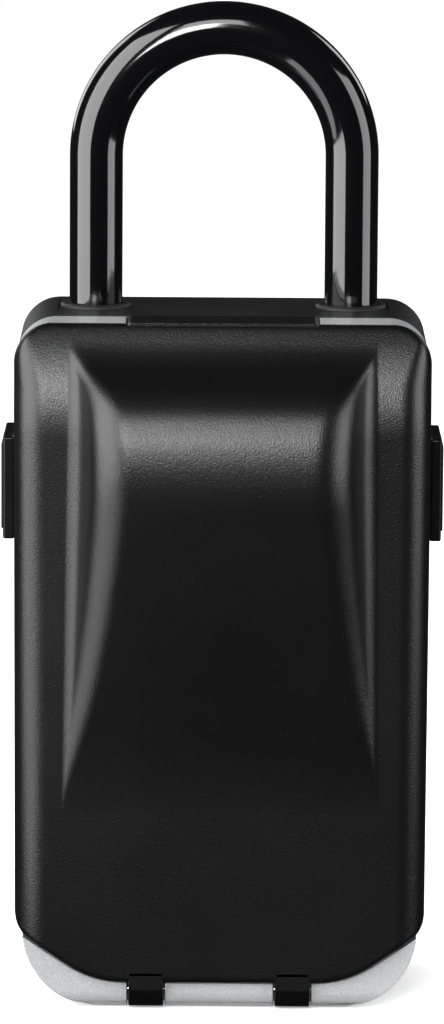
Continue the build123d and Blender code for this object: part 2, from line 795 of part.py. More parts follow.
for number, x in enumerate(wheel_places, start=1):
    with BuildPart() as number_wheel:
        with BuildSketch(Plane.YZ.offset(x)) as wheel:
            with Locations((y_wheel, wheel_height)):
                Circle(wheel_diameter / 2)
                Circle(hub_diameter / 2 + fit, mode=Mode.SUBTRACT)
                with PolarLocations(wheel_diameter / 2 + 0.35, digits, start_angle=18):
                    Circle(digit_groove, mode=Mode.SUBTRACT)
        extrude(amount=wheel_width / 2, both=True)
    finish_piece(number_wheel, f"number_wheel_{number}")

    with BuildPart() as dial_hub:
        with BuildSketch(Plane.YZ.offset(x - wheel_width / 2)) as sleeve:
            with Locations((y_wheel, wheel_height)):
                Circle(hub_diameter / 2)
        extrude(amount=wheel_width)
        with BuildSketch(Plane.YZ.offset(x + wheel_width / 2)) as disc:
            with Locations((y_wheel, wheel_height)):
                Circle(gate_disc_diameter / 2)
            with Locations((y_wheel + gate_disc_diameter / 2, wheel_height)):
                Rectangle(2 * gate_depth, gate_width, mode=Mode.SUBTRACT)
        extrude(amount=gate_disc_width)
        with BuildSketch(Plane.YZ.offset(x - wheel_width)) as hub_bore:
            with Locations((y_wheel, wheel_height)):
                Circle(shaft_diameter / 2 + fit)
        extrude(amount=2 * wheel_width, mode=Mode.SUBTRACT)
    finish_piece(dial_hub, f"dial_hub_{number}")

# Leaf that clicks the wheels
with BuildPart() as detent_spring:
    z_ceiling = bezel_top - bezel_wall
    with BuildSketch(front_plane(y_flange + 1.0)) as strip:
        with Locations((0, z_ceiling)):
            Rectangle(bezel_width - 2 * bezel_wall - 1, spring_thickness, align=(Align.CENTER, Align.MAX))
    extrude(amount=3.0)
    z_tip = wheel_height + wheel_diameter / 2 + gap
    for x in wheel_places:
        with BuildSketch(Plane.YZ.offset(x)) as finger:
            with BuildLine():
                Polyline(
                    (y_flange - 1.5, z_ceiling),
                    (y_flange - 2.5, z_ceiling),
                    (y_wheel, z_tip + spring_thickness),
                    (y_wheel, z_tip),
                    (y_flange - 1.5, z_ceiling - spring_thickness),
                    close=True,
                )
            make_face()
        extrude(amount=spring_finger_width / 2, both=True)
finish_piece(detent_spring, "detent_spring")

# Sliding latch plate, with its fence teeth and hooks
with BuildPart() as latch_plate:
    with BuildSketch(front_plane(y_latch_back)) as plate:
        with Locations((0, (latch_foot + latch_top) / 2)):
            Rectangle(latch_width, latch_top - latch_foot)
        with Locations((0, latch_foot)):
            Rectangle(
                latch_cut_width,
                latch_cut_height,
                align=(Align.CENTER, Align.MIN),
                mode=Mode.SUBTRACT,
            )
        hook_edge = strike_edge - gap - hook_width
        with Locations(
            (hook_edge + hook_width / 2, hook_foot), (-hook_edge - hook_width / 2, hook_foot)
        ):
            Rectangle(hook_width, latch_foot - hook_foot + 1, align=(Align.CENTER, Align.MIN))
        with Locations(
            (-guide_spacing / 2, guide_height - latch_travel / 2),
            (guide_spacing / 2, guide_height - latch_travel / 2),
        ):
            SlotOverall(
                latch_travel + guide_diameter + 2 * guide_play,
                guide_diameter + 2 * guide_play,
                rotation=90,
                mode=Mode.SUBTRACT,
            )
    extrude(amount=latch_thickness)
    # Fence teeth between the wheels
    y_fence_tip = y_wheel + gate_disc_diameter / 2 + gap
    with BuildSketch(front_plane(y_latch_front)) as fence:
        fence_places = [x + wheel_width / 2 + gate_disc_width / 2 for x in wheel_places]
        with Locations(*[(x, wheel_height) for x in fence_places]):
            Rectangle(fence_width, fence_height)
    extrude(amount=y_latch_front - y_fence_tip)
    # Hooks that reach back behind the strikes
    y_nose = y_part + strike_setback + strike_thickness + hook_clearance
    with BuildSketch(front_plane(y_nose + hook_nose_thickness)) as hooks:
        with Locations(
            (hook_edge + hook_width / 2, hook_foot), (-hook_edge - hook_width / 2, hook_foot)
        ):
            Rectangle(hook_width, hook_height, align=(Align.CENTER, Align.MIN))
    extrude(amount=y_nose + hook_nose_thickness - y_latch_back)
    with BuildSketch(front_plane(y_nose + hook_nose_thickness)) as noses:
        with Locations(
            (strike_edge + hook_nose / 2 - gap, hook_foot),
            (-strike_edge - hook_nose / 2 + gap, hook_foot),
        ):
            Rectangle(hook_nose, hook_height, align=(Align.CENTER, Align.MIN))
    extrude(amount=hook_nose_thickness)
finish_piece(latch_plate, "latch_plate")

# Side levers, each with the arm that reaches into the door
for side, name in ((-1, "side_lever_left"), (1, "side_lever_right")):
    with BuildPart() as side_lever:
        lever_inner = case_width / 2 + 0.15
        with BuildSketch(Plane.YZ.offset(side * lever_inner)) as tab:
            with Locations((y_flange + 0.25, lever_foot)):
                Rectangle(lever_depth, lever_height, align=(Align.MIN, Align.MIN))
            fillet(tab.vertices().sort_by(Axis.X)[-2:], 2.0)
        extrude(amount=side * lever_thickness)
        outer_face = side_lever.faces().sort_by(lambda face: side * face.center().X)[-1]
        chamfer(outer_face.edges(), 0.6)
        with BuildSketch(Plane.YZ.offset(side * latch_width / 2)) as arm:
            with Locations(((y_latch_back + y_latch_front) / 2, z_arm)):
                Rectangle(latch_thickness, lever_arm_height)
        extrude(amount=side * (lever_inner - latch_width / 2 + 0.5))
    finish_piece(side_lever, name)

# Plate that closes the mechanism inside the door
with BuildPart() as door_back_cover:
    with BuildSketch(front_plane(y_door_back)) as back_plate:
        add(case_face(y_door_back, door_rim_wall + 0.1, foot=back_cover_foot + 0.1))
        with Locations(
            (hook_edge + hook_width / 2, hook_foot + (hook_height + latch_travel) / 2),
            (-hook_edge - hook_width / 2, hook_foot + (hook_height + latch_travel) / 2),
        ):
            Rectangle(hook_width + 0.8, hook_height + latch_travel + 1, mode=Mode.SUBTRACT)
        with Locations(*cover_screw_places):
            Circle(screw_shank / 2 + bore_play, mode=Mode.SUBTRACT)
    extrude(amount=back_cover_thickness)
    with BuildSketch(front_plane(y_door_back)) as reset_post:
        with Locations((0, reset_height)):
            Circle(reset_pin_diameter / 2)
    extrude(amount=-(reset_thickness + gap))
    with BuildSketch(front_plane(y_door_back + reset_thickness + gap)) as reset_cap:
        with Locations((0, reset_height)):
            Circle(reset_pin_diameter / 2 + 1.0)
    extrude(amount=-0.8)
finish_piece(door_back_cover, "door_back_cover")

with BuildPart() as back_cover_screws:
    with BuildSketch(front_plane(y_door_back)) as heads:
        with Locations(*cover_screw_places):
            Circle(screw_head / 2)
    extrude(amount=-screw_head_height)
    with BuildSketch(front_plane(y_door_back)) as shanks:
        with Locations(*cover_screw_places):
            Circle(screw_shank / 2 - fit)
    extrude(amount=screw_length - 1)
finish_piece(back_cover_screws, "back_cover_screws")

with BuildPart() as reset_lever:
    with BuildSketch(front_plane(y_door_back + gap / 2)) as outline:
        with Locations((0, reset_height)):
            Circle(reset_width / 2 + 1.4)
        with Locations((0, reset_height)):
            Rectangle(reset_width, reset_length, align=(Align.CENTER, Align.MAX))
        with Locations((0, reset_height - reset_length)):
            Circle(reset_width / 2)
        with Locations((0, reset_height)):
            Circle(reset_pin_diameter / 2 + 0.08, mode=Mode.SUBTRACT)
    extrude(amount=-reset_thickness)
finish_piece(reset_lever, "reset_lever")
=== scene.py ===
"""Portable key safe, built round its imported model.

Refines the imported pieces, gives them their finishes, and sets up the floor, the lights and the
camera. Sizes are in millimetres and angles in degrees, unless a docstring says otherwise.
"""

import json
import logging
import math
from bisect import bisect
from dataclasses import dataclass
from enum import Enum
from typing import Any, ClassVar, Iterable, Sequence

import bmesh
import bpy
from mathutils import Matrix, Vector

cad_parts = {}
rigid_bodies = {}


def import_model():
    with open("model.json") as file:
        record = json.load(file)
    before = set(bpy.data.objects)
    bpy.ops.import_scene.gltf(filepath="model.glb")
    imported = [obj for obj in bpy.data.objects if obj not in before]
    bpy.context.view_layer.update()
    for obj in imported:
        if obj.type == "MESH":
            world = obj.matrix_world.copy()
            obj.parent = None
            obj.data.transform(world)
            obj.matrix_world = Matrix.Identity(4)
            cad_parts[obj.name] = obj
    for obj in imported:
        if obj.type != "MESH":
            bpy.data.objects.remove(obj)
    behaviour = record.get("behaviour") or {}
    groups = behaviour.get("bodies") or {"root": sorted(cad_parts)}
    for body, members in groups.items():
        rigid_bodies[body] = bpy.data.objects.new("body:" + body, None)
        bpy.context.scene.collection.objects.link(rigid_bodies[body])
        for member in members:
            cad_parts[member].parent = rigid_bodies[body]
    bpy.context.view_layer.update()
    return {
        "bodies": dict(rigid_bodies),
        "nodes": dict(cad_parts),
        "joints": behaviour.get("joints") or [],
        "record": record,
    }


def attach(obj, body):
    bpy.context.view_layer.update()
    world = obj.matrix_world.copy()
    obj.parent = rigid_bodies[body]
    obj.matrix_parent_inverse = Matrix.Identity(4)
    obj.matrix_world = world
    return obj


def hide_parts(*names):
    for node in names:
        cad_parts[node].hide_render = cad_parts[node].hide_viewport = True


# Metres in a millimetre.
MM = 0.001
# Distance in metres below which two corners become one.
WELD = 1e-7
# Angle above which an edge is sharp: it stays so in the shading, or is rounded.
CREASE = 32.0
LOG = logging.getLogger("key_safe")

Point = tuple[float, float, float]
Flat = tuple[float, float]
Colour = tuple[float, float, float]


class Lay(Enum):
    """Direction in which a metal's fine lines run."""

    NONE = "none"
    ALONG_X = "along x"
    ALONG_Z = "along z"
    ALL_WAYS = "all ways"


class Wiring:
    """Adds and links the nodes of one node tree."""

    # Places of a Mix node's two colour inputs and of its colour output.
    MIX_COLOURS: ClassVar[tuple[int, int]] = (6, 7)
    MIX_RESULT: ClassVar[int] = 2

    def __init__(self, tree: bpy.types.NodeTree) -> None:
        """Keep the tree.

        Args:
            tree: The shader or geometry tree that is filled.
        """
        self.tree = tree

    def add(self, kind: str, **options: Any) -> bpy.types.Node:
        """Add one node.

        Args:
            kind: Blender's name of the node type.
            options: Properties set on the node.

        Returns:
            The new node.
        """
        node = self.tree.nodes.new(kind)
        for name, value in options.items():
            setattr(node, name, value)
        return node

    def join(self, source: bpy.types.NodeSocket, target: bpy.types.NodeSocket) -> None:
        """Link an output socket to an input socket."""
        self.tree.links.new(source, target)

    def put(self, target: bpy.types.NodeSocket, value: Any) -> None:
        """Link a socket, or set a plain value.

        Args:
            target: The input socket.
            value: An output socket, or the value itself.
        """
        if isinstance(value, bpy.types.NodeSocket):
            self.join(value, target)
        else:
            target.default_value = value

    def place(self) -> bpy.types.NodeSocket:
        """Object coordinates of the shaded point."""
        return self.add("ShaderNodeTexCoord").outputs["Object"]

    def group(self, tree: bpy.types.NodeTree, **inputs: Any) -> bpy.types.Node:
        """Add a shared group.

        Args:
            tree: The group's tree.
            inputs: Plain values by input name.

        Returns:
            The group's node.
        """
        node = self.add("ShaderNodeGroup", node_tree=tree)
        for name, value in inputs.items():
            node.inputs[name].default_value = value
        return node

    def math(self, operation: str, first: Any, second: Any = 0.0, third: Any = 0.0) -> Any:
        """Add a Math node.

        Args:
            operation: Blender's name of the operation.
            first: Number or socket.
            second: Number or socket.
            third: Number or socket.

        Returns:
            The result's socket.
        """
        node = self.add("ShaderNodeMath", operation=operation)
        for place, value in enumerate((first, second, third)):
            self.put(node.inputs[place], value)
        return node.outputs[0]

    def span(self, value: Any, low: float, high: float, to_low: Any, to_high: Any) -> Any:
        """Map a range of numbers to another one.

        Args:
            value: The number's socket.
            low: Lowest number taken in.
            high: Highest number taken in.
            to_low: What the lowest becomes.
            to_high: What the highest becomes.

        Returns:
            The result's socket.
        """
        node = self.add("ShaderNodeMapRange")
        for place, number in enumerate((value, low, high, to_low, to_high)):
            self.put(node.inputs[place], number)
        return node.outputs[0]

    def mix(self, share: Any, first: Any, second: Any) -> Any:
        """Mix two colours.

        Args:
            share: Share of the second colour.
            first: Colour or socket.
            second: Colour or socket.

        Returns:
            The mixed colour's socket.
        """
        node = self.add("ShaderNodeMix", data_type="RGBA")
        self.put(node.inputs[0], share)
        for place, colour in zip(self.MIX_COLOURS, (first, second)):
            linked = isinstance(colour, bpy.types.NodeSocket)
            self.put(node.inputs[place], colour if linked else (*colour, 1.0))
        return node.outputs[self.MIX_RESULT]

    def noise(self, place: Any, scale: Any, detail: float = 2.0, rough: float = 0.5) -> Any:
        """Add a noise texture.

        Args:
            place: The vector's socket.
            scale: Repeats in a metre.
            detail: Finer layers.
            rough: Weight of the finer layers.

        Returns:
            The noise value's socket.
        """
        node = self.add("ShaderNodeTexNoise")
        self.put(node.inputs["Vector"], place)
        self.put(node.inputs["Scale"], scale)
        self.put(node.inputs["Detail"], detail)
        self.put(node.inputs["Roughness"], rough)
        return node.outputs[0]


class Effects:
    """Shader node groups that the finishes share."""

    # Scale of the wide grain as a share of the fine grain's.
    WIDE_GRAIN: ClassVar[float] = 0.31
    # Repeats in a metre of what breaks up rubbed edges, and of dust.
    PATCHES: ClassVar[float] = 420.0
    SPECKS: ClassVar[float] = 900.0

    def __init__(self) -> None:
        """Build each group once."""
        self.grain = self._grain()
        self.tone = self._tone()
        self.edges = self._edges()
        self.lines = self._lines()
        self.dust = self._dust()

    @staticmethod
    def _group(
        name: str, inputs: Sequence[tuple[str, str, Any]], outputs: Sequence[tuple[str, str]]
    ) -> tuple[Wiring, bpy.types.Node, bpy.types.Node]:
        """Start a group with its named sockets.

        Args:
            name: The group's name.
            inputs: Name, socket type and default of each input.
            outputs: Name and socket type of each output.

        Returns:
            The wiring, the input node and the output node.
        """
        tree = bpy.data.node_groups.new(name, "ShaderNodeTree")
        for label, kind, default in inputs:
            socket = tree.interface.new_socket(name=label, in_out="INPUT", socket_type=kind)
            socket.default_value = default
        for label, kind in outputs:
            tree.interface.new_socket(name=label, in_out="OUTPUT", socket_type=kind)
        wiring = Wiring(tree)
        return wiring, wiring.add("NodeGroupInput"), wiring.add("NodeGroupOutput")

    def _grain(self) -> bpy.types.NodeTree:
        """Fine moulded or cast grain.

        Returns:
            The group, with a height and a mask of the grain's peaks.
        """
        w, start, end = self._group(
            "surface_grain",
            [("Scale", "NodeSocketFloat", 3000.0), ("Coarseness", "NodeSocketFloat", 0.4)],
            [("Height", "NodeSocketFloat"), ("Peaks", "NodeSocketFloat")],
        )
        place = w.place()
        wide_scale = w.math("MULTIPLY", start.outputs["Scale"], self.WIDE_GRAIN)
        fine = w.noise(place, start.outputs["Scale"], detail=1.0, rough=0.6)
        wide = w.noise(place, wide_scale, detail=1.0)
        share = w.math("MULTIPLY", wide, start.outputs["Coarseness"])
        w.join(w.math("ADD", fine, share), end.inputs["Height"])
        w.join(w.span(fine, low=0.52, high=0.72, to_low=0.0, to_high=1.0), end.inputs["Peaks"])
        return w.tree

    def _tone(self) -> bpy.types.NodeTree:
        """Slow change of tone over a surface.

        Returns:
            The group, with a tinted colour and a slow value from -1 to 1.
        """
        w, start, end = self._group(
            "slow_tone",
            [
                ("Color", "NodeSocketColor", (0.5, 0.5, 0.5, 1.0)),
                ("Spread", "NodeSocketFloat", 0.1),
                ("Scale", "NodeSocketFloat", 30.0),
            ],
            [("Color", "NodeSocketColor"), ("Value", "NodeSocketFloat")],
        )
        cloud = w.noise(w.place(), start.outputs["Scale"], detail=4.0, rough=0.55)
        value = w.span(cloud, low=0.25, high=0.75, to_low=-1.0, to_high=1.0)
        gain = w.math("MULTIPLY_ADD", value, start.outputs["Spread"], 1.0)
        scale = w.add("ShaderNodeVectorMath", operation="SCALE")
        w.join(start.outputs["Color"], scale.inputs[0])
        w.join(gain, scale.inputs["Scale"])
        w.join(scale.outputs[0], end.inputs["Color"])
        w.join(value, end.inputs["Value"])
        return w.tree

    def _edges(self) -> bpy.types.NodeTree:
        """Rubbed edges.

        Returns:
            The group, with a broken mask along sharp edges.
        """
        w, start, end = self._group(
            "rubbed_edges",
            [("Width", "NodeSocketFloat", 0.0004), ("Amount", "NodeSocketFloat", 0.5)],
            [("Mask", "NodeSocketFloat")],
        )
        rounded = w.add("ShaderNodeBevel", samples=6)
        w.join(start.outputs["Width"], rounded.inputs["Radius"])
        flat = w.add("ShaderNodeNewGeometry")
        turn = w.add("ShaderNodeVectorMath", operation="DOT_PRODUCT")
        w.join(rounded.outputs[0], turn.inputs[0])
        w.join(flat.outputs["Normal"], turn.inputs[1])
        sharp = w.span(turn.outputs["Value"], low=0.995, high=0.9, to_low=0.0, to_high=1.0)
        patches = w.noise(w.place(), self.PATCHES, detail=4.0, rough=0.7)
        broken = w.span(patches, low=0.4, high=0.62, to_low=0.25, to_high=1.0)
        mask = w.math("MULTIPLY", sharp, broken)
        w.join(w.math("MULTIPLY", mask, start.outputs["Amount"]), end.inputs["Mask"])
        return w.tree

    def _lines(self) -> bpy.types.NodeTree:
        """Fine lines of drawn, ground or turned metal.

        Returns:
            The group, with a height and a value of the lines.
        """
        w, start, end = self._group(
            "fine_lines",
            [
                ("Stretch", "NodeSocketVector", (1.0, 1.0, 1.0)),
                ("Scale", "NodeSocketFloat", 4000.0),
            ],
            [("Height", "NodeSocketFloat"), ("Value", "NodeSocketFloat")],
        )
        drawn = w.add("ShaderNodeVectorMath", operation="MULTIPLY")
        w.join(w.place(), drawn.inputs[0])
        w.join(start.outputs["Stretch"], drawn.inputs[1])
        value = w.noise(drawn.outputs[0], start.outputs["Scale"], detail=3.0, rough=0.65)
        w.join(value, end.inputs["Height"])
        w.join(w.span(value, low=0.3, high=0.7, to_low=-1.0, to_high=1.0), end.inputs["Value"])
        return w.tree

    def _dust(self) -> bpy.types.NodeTree:
        """Faint dust and handling marks.

        Returns:
            The group, with a mask that is strongest on faces turned up.
        """
        w, start, end = self._group(
            "faint_dust", [("Amount", "NodeSocketFloat", 0.1)], [("Mask", "NodeSocketFloat")]
        )
        facing = w.add("ShaderNodeSeparateXYZ")
        w.join(w.add("ShaderNodeNewGeometry").outputs["Normal"], facing.inputs[0])
        up = w.span(facing.outputs[2], low=0.2, high=1.0, to_low=0.3, to_high=1.0)
        fine = w.noise(w.place(), self.SPECKS, detail=5.0, rough=0.75)
        specks = w.span(fine, low=0.48, high=0.75, to_low=0.0, to_high=1.0)
        settled = w.math("MULTIPLY", up, specks)
        w.join(w.math("MULTIPLY", settled, start.outputs["Amount"]), end.inputs["Mask"])
        return w.tree


# How much a metal's lines are drawn out along each axis: less than 1 makes them longer there.
STRETCH: dict[Lay, Point] = {
    Lay.ALONG_X: (0.02, 1.0, 1.0),
    Lay.ALONG_Z: (1.0, 1.0, 0.02),
    Lay.ALL_WAYS: (1.0, 1.0, 1.0),
}


@dataclass(frozen=True)
class Finish:
    """One surface finish, with its colour, gloss, grain, lines, wear and dust."""

    # How much lines, rubbed edges and dust change the roughness.
    LINE_GLOSS: ClassVar[float] = 0.06
    WEAR_GLOSS: ClassVar[float] = -0.12
    DUST_GLOSS: ClassVar[float] = 0.4
    DUST_COLOUR: ClassVar[Colour] = (0.42, 0.4, 0.37)

    slot: str
    colour: Colour
    roughness: float
    metallic: float = 0.0
    specular: float = 0.5
    coat: float = 0.0
    coat_roughness: float = 0.05
    grain_size: float = 0.3
    grain_depth: float = 0.0
    coarseness: float = 0.4
    peaks_colour: Colour | None = None
    peaks_share: float = 0.0
    tone_spread: float = 0.12
    tone_scale: float = 35.0
    gloss_spread: float = 0.04
    lay: Lay = Lay.NONE
    line_depth: float = 0.0
    wear_colour: Colour = (0.5, 0.5, 0.5)
    wear: float = 0.0
    wear_width: float = 0.35
    dust: float = 0.0

    def material(self, effects: Effects) -> bpy.types.Material:
        """Build the finish as a node material.

        Args:
            effects: The shared groups.

        Returns:
            The material, named after its slot.
        """
        made = bpy.data.materials.new(self.slot)
        made.use_nodes = True
        made.diffuse_color = (*self.colour, 1.0)
        w = Wiring(made.node_tree)
        made.node_tree.nodes.clear()
        shader = w.add("ShaderNodeBsdfPrincipled")
        w.join(shader.outputs[0], w.add("ShaderNodeOutputMaterial").inputs[0])
        for label, value in (
            ("Metallic", self.metallic),
            ("Specular IOR Level", self.specular),
            ("Coat Weight", self.coat),
            ("Coat Roughness", self.coat_roughness),
        ):
            shader.inputs[label].default_value = value
        tone = w.group(
            effects.tone, Color=(*self.colour, 1.0), Spread=self.tone_spread, Scale=self.tone_scale
        )
        colour = tone.outputs["Color"]
        rough = w.math("MULTIPLY_ADD", tone.outputs["Value"], self.gloss_spread, self.roughness)
        heights = []
        if self.grain_depth > 0 or self.peaks_share > 0:
            grain = w.group(
                effects.grain, Scale=1.0 / (self.grain_size * MM), Coarseness=self.coarseness
            )
            heights.append((grain.outputs["Height"], self.grain_depth))
            if self.peaks_colour is not None:
                share = w.math("MULTIPLY", grain.outputs["Peaks"], self.peaks_share)
                colour = w.mix(share, colour, self.peaks_colour)
        if self.lay is not Lay.NONE:
            lines = w.group(effects.lines, Stretch=STRETCH[self.lay])
            heights.append((lines.outputs["Height"], self.line_depth))
            rough = w.math("MULTIPLY_ADD", lines.outputs["Value"], self.LINE_GLOSS, rough)
        if self.wear > 0:
            edges = w.group(effects.edges, Width=self.wear_width * MM, Amount=self.wear)
            colour = w.mix(edges.outputs["Mask"], colour, self.wear_colour)
            rough = w.math("MULTIPLY_ADD", edges.outputs["Mask"], self.WEAR_GLOSS, rough)
        if self.dust > 0:
            dust = w.group(effects.dust, Amount=self.dust)
            colour = w.mix(dust.outputs["Mask"], colour, self.DUST_COLOUR)
            rough = w.math("MULTIPLY_ADD", dust.outputs["Mask"], self.DUST_GLOSS, rough)
        w.join(colour, shader.inputs["Base Color"])
        w.join(rough, shader.inputs["Roughness"])
        normal = None
        for height, depth in heights:
            bump = w.add("ShaderNodeBump")
            bump.inputs["Strength"].default_value = 1.0
            bump.inputs["Distance"].default_value = depth * MM
            w.join(height, bump.inputs["Height"])
            if normal is not None:
                w.join(normal, bump.inputs["Normal"])
            normal = bump.outputs[0]
        if normal is not None:
            w.join(normal, shader.inputs["Normal"])
        return made


FINISHES = (
    Finish(
        "cover_black", (0.0012, 0.0012, 0.0013), 0.31, grain_size=0.3, grain_depth=0.05,
        peaks_colour=(0.003, 0.003, 0.0033), peaks_share=0.5, tone_spread=0.15, gloss_spread=0.02,
        wear_colour=(0.012, 0.012, 0.0125), wear=0.2, dust=0.001,
    ),
    Finish(
        "boot_black", (0.002, 0.002, 0.0022), 0.46, grain_size=0.32, grain_depth=0.05,
        peaks_colour=(0.006, 0.006, 0.0065), peaks_share=0.4, wear_colour=(0.02, 0.02, 0.02),
        wear=0.25, dust=0.003,
    ),
    Finish(
        "lever_black", (0.0014, 0.0014, 0.0016), 0.28, specular=0.2, grain_size=0.3,
        grain_depth=0.02, wear_colour=(0.02, 0.02, 0.02), wear=0.3, dust=0.002,
    ),
    Finish(
        "black_paint", (0.006, 0.006, 0.0065), 0.42, grain_size=0.5, grain_depth=0.03,
        coarseness=0.8, wear_colour=(0.3, 0.3, 0.31), wear=0.25, dust=0.08,
    ),
    Finish(
        "silver_paint", (0.4, 0.411, 0.423), 0.38, metallic=0.55, grain_size=0.28,
        grain_depth=0.035, coarseness=0.6, peaks_colour=(0.66, 0.675, 0.69), peaks_share=0.5,
        tone_spread=0.06, wear_colour=(0.78, 0.79, 0.8), wear=0.5, dust=0.04,
    ),
    Finish(
        "vinyl_black", (0.0012, 0.0012, 0.0014), 0.1, coat=0.35, coat_roughness=0.04,
        grain_size=2.6, grain_depth=0.012, coarseness=0.8, tone_spread=0.1, gloss_spread=0.02,
        dust=0.001,
    ),
    Finish(
        "seal_rubber", (0.002, 0.002, 0.002), 0.58, grain_size=0.4, grain_depth=0.03, dust=0.002,
    ),
    Finish(
        "wheel_black", (0.012, 0.012, 0.013), 0.3, grain_size=0.4, grain_depth=0.008,
        wear_colour=(0.08, 0.08, 0.08), wear=0.3, dust=0.05,
    ),
    Finish(
        "pin_steel", (0.62, 0.62, 0.63), 0.24, metallic=1.0, lay=Lay.ALONG_X, line_depth=0.006,
        tone_spread=0.05, wear_colour=(0.75, 0.75, 0.76), wear=0.5,
    ),
    Finish(
        "plate_steel", (0.55, 0.55, 0.56), 0.34, metallic=1.0, lay=Lay.ALONG_Z,
        line_depth=0.008, tone_spread=0.08, wear_colour=(0.72, 0.72, 0.73), wear=0.5, dust=0.05,
    ),
    Finish(
        "shackle_steel", (0.6, 0.6, 0.61), 0.22, metallic=1.0, lay=Lay.ALL_WAYS,
        line_depth=0.006, tone_spread=0.06, wear_colour=(0.75, 0.75, 0.76), wear=0.4,
    ),
    Finish(
        "hub_brass", (0.72, 0.55, 0.27), 0.28, metallic=1.0, lay=Lay.ALL_WAYS,
        line_depth=0.008, tone_spread=0.1, wear_colour=(0.85, 0.7, 0.4), wear=0.5,
    ),
)


def place_object(
    name: str, mesh: bpy.types.Mesh, material: bpy.types.Material
) -> bpy.types.Object:
    """Put a mesh into the scene with one material.

    Args:
        name: The piece's name.
        mesh: Its mesh, already in place.
        material: Its material.

    Returns:
        The new object, at the origin.
    """
    mesh.materials.clear()
    mesh.materials.append(material)
    piece = bpy.data.objects.new(name, mesh)
    bpy.context.scene.collection.objects.link(piece)
    return piece


def mesh_from(name: str, work: bmesh.types.BMesh, crease: float = CREASE) -> bpy.types.Mesh:
    """Close a bmesh into a mesh, smooth but for its sharp edges.

    Args:
        name: The mesh's name.
        work: The bmesh, which is freed.
        crease: Angle above which an edge stays sharp.

    Returns:
        The mesh.
    """
    limit = math.radians(crease)
    for face in work.faces:
        face.smooth = True
    for edge in work.edges:
        edge.smooth = len(edge.link_faces) == 2 and edge.calc_face_angle(0.0) < limit
    mesh = bpy.data.meshes.new(name)
    work.to_mesh(mesh)
    work.free()
    if "custom_normal" in mesh.attributes:
        mesh.attributes.remove(mesh.attributes["custom_normal"])
    return mesh


def bake(piece: bpy.types.Object) -> None:
    """Apply a piece's modifiers, so that it has a plain mesh and no modifier.

    Args:
        piece: The object with its modifiers.
    """
    graph = bpy.context.evaluated_depsgraph_get()
    graph.update()
    mesh = bpy.data.meshes.new_from_object(piece.evaluated_get(graph), depsgraph=graph)
    piece.modifiers.clear()
    piece.data = mesh


def soften(piece: bpy.types.Object, width: float, segments: int = 2) -> None:
    """Round a piece's sharp edges a little and apply that.

    Args:
        piece: The object.
        width: Width of the rounding.
        segments: Faces across the rounding.
    """
    bevel = piece.modifiers.new("soft_edges", "BEVEL")
    bevel.width = width * MM
    bevel.segments = segments
    bevel.limit_method = "ANGLE"
    bevel.angle_limit = math.radians(CREASE)
    bevel.use_clamp_overlap = False
    bevel.harden_normals = True
    weighted = piece.modifiers.new("even_shading", "WEIGHTED_NORMAL")
    weighted.keep_sharp = True
    bake(piece)


def prism(
    work: bmesh.types.BMesh, outline: Sequence[Flat], axis: int, low: float, high: float
) -> None:
    """Add a straight prism to a bmesh.

    Args:
        work: The bmesh that gets the prism.
        outline: Corners in the plane across the axis, in the order of the other two axes.
        axis: 0 for x, 1 for y, 2 for z.
        low: Where it starts on the axis.
        high: Where it ends on the axis.
    """
    rings = []
    for level in (low, high):
        ring = []
        for first, second in outline:
            place = [first, second]
            place.insert(axis, level)
            ring.append(work.verts.new(Vector(place) * MM))
        rings.append(ring)
    count = len(outline)
    faces = [work.faces.new(rings[0]), work.faces.new(rings[1])]
    for step in range(count):
        follow = (step + 1) % count
        faces.append(
            work.faces.new((rings[0][step], rings[0][follow], rings[1][follow], rings[1][step]))
        )
    bmesh.ops.recalc_face_normals(work, faces=faces)


def filleted(points: Sequence[Flat], radii: Sequence[float], steps: int = 10) -> list[Flat]:
    """Round the corners of an open line.

    Args:
        points: Its corners.
        radii: Radius at each inner corner.
        steps: Points along each rounding.

    Returns:
        The line's points with the roundings.
    """
    line = [points[0]]
    for place in range(1, len(points) - 1):
        corner = Vector(points[place])
        back = (Vector(points[place - 1]) - corner).normalized()
        ahead = (Vector(points[place + 1]) - corner).normalized()
        half_turn = back.angle(ahead) / 2
        reach = radii[place - 1] / math.tan(half_turn)
        centre = corner + (back + ahead).normalized() * radii[place - 1] / math.sin(half_turn)
        start = corner + back * reach - centre
        end = corner + ahead * reach - centre
        sweep = start.angle_signed(end)
        for step in range(steps + 1):
            turned = Matrix.Rotation(-sweep * step / steps, 2) @ start
            line.append(tuple(centre + turned))
    line.append(points[-1])
    return line


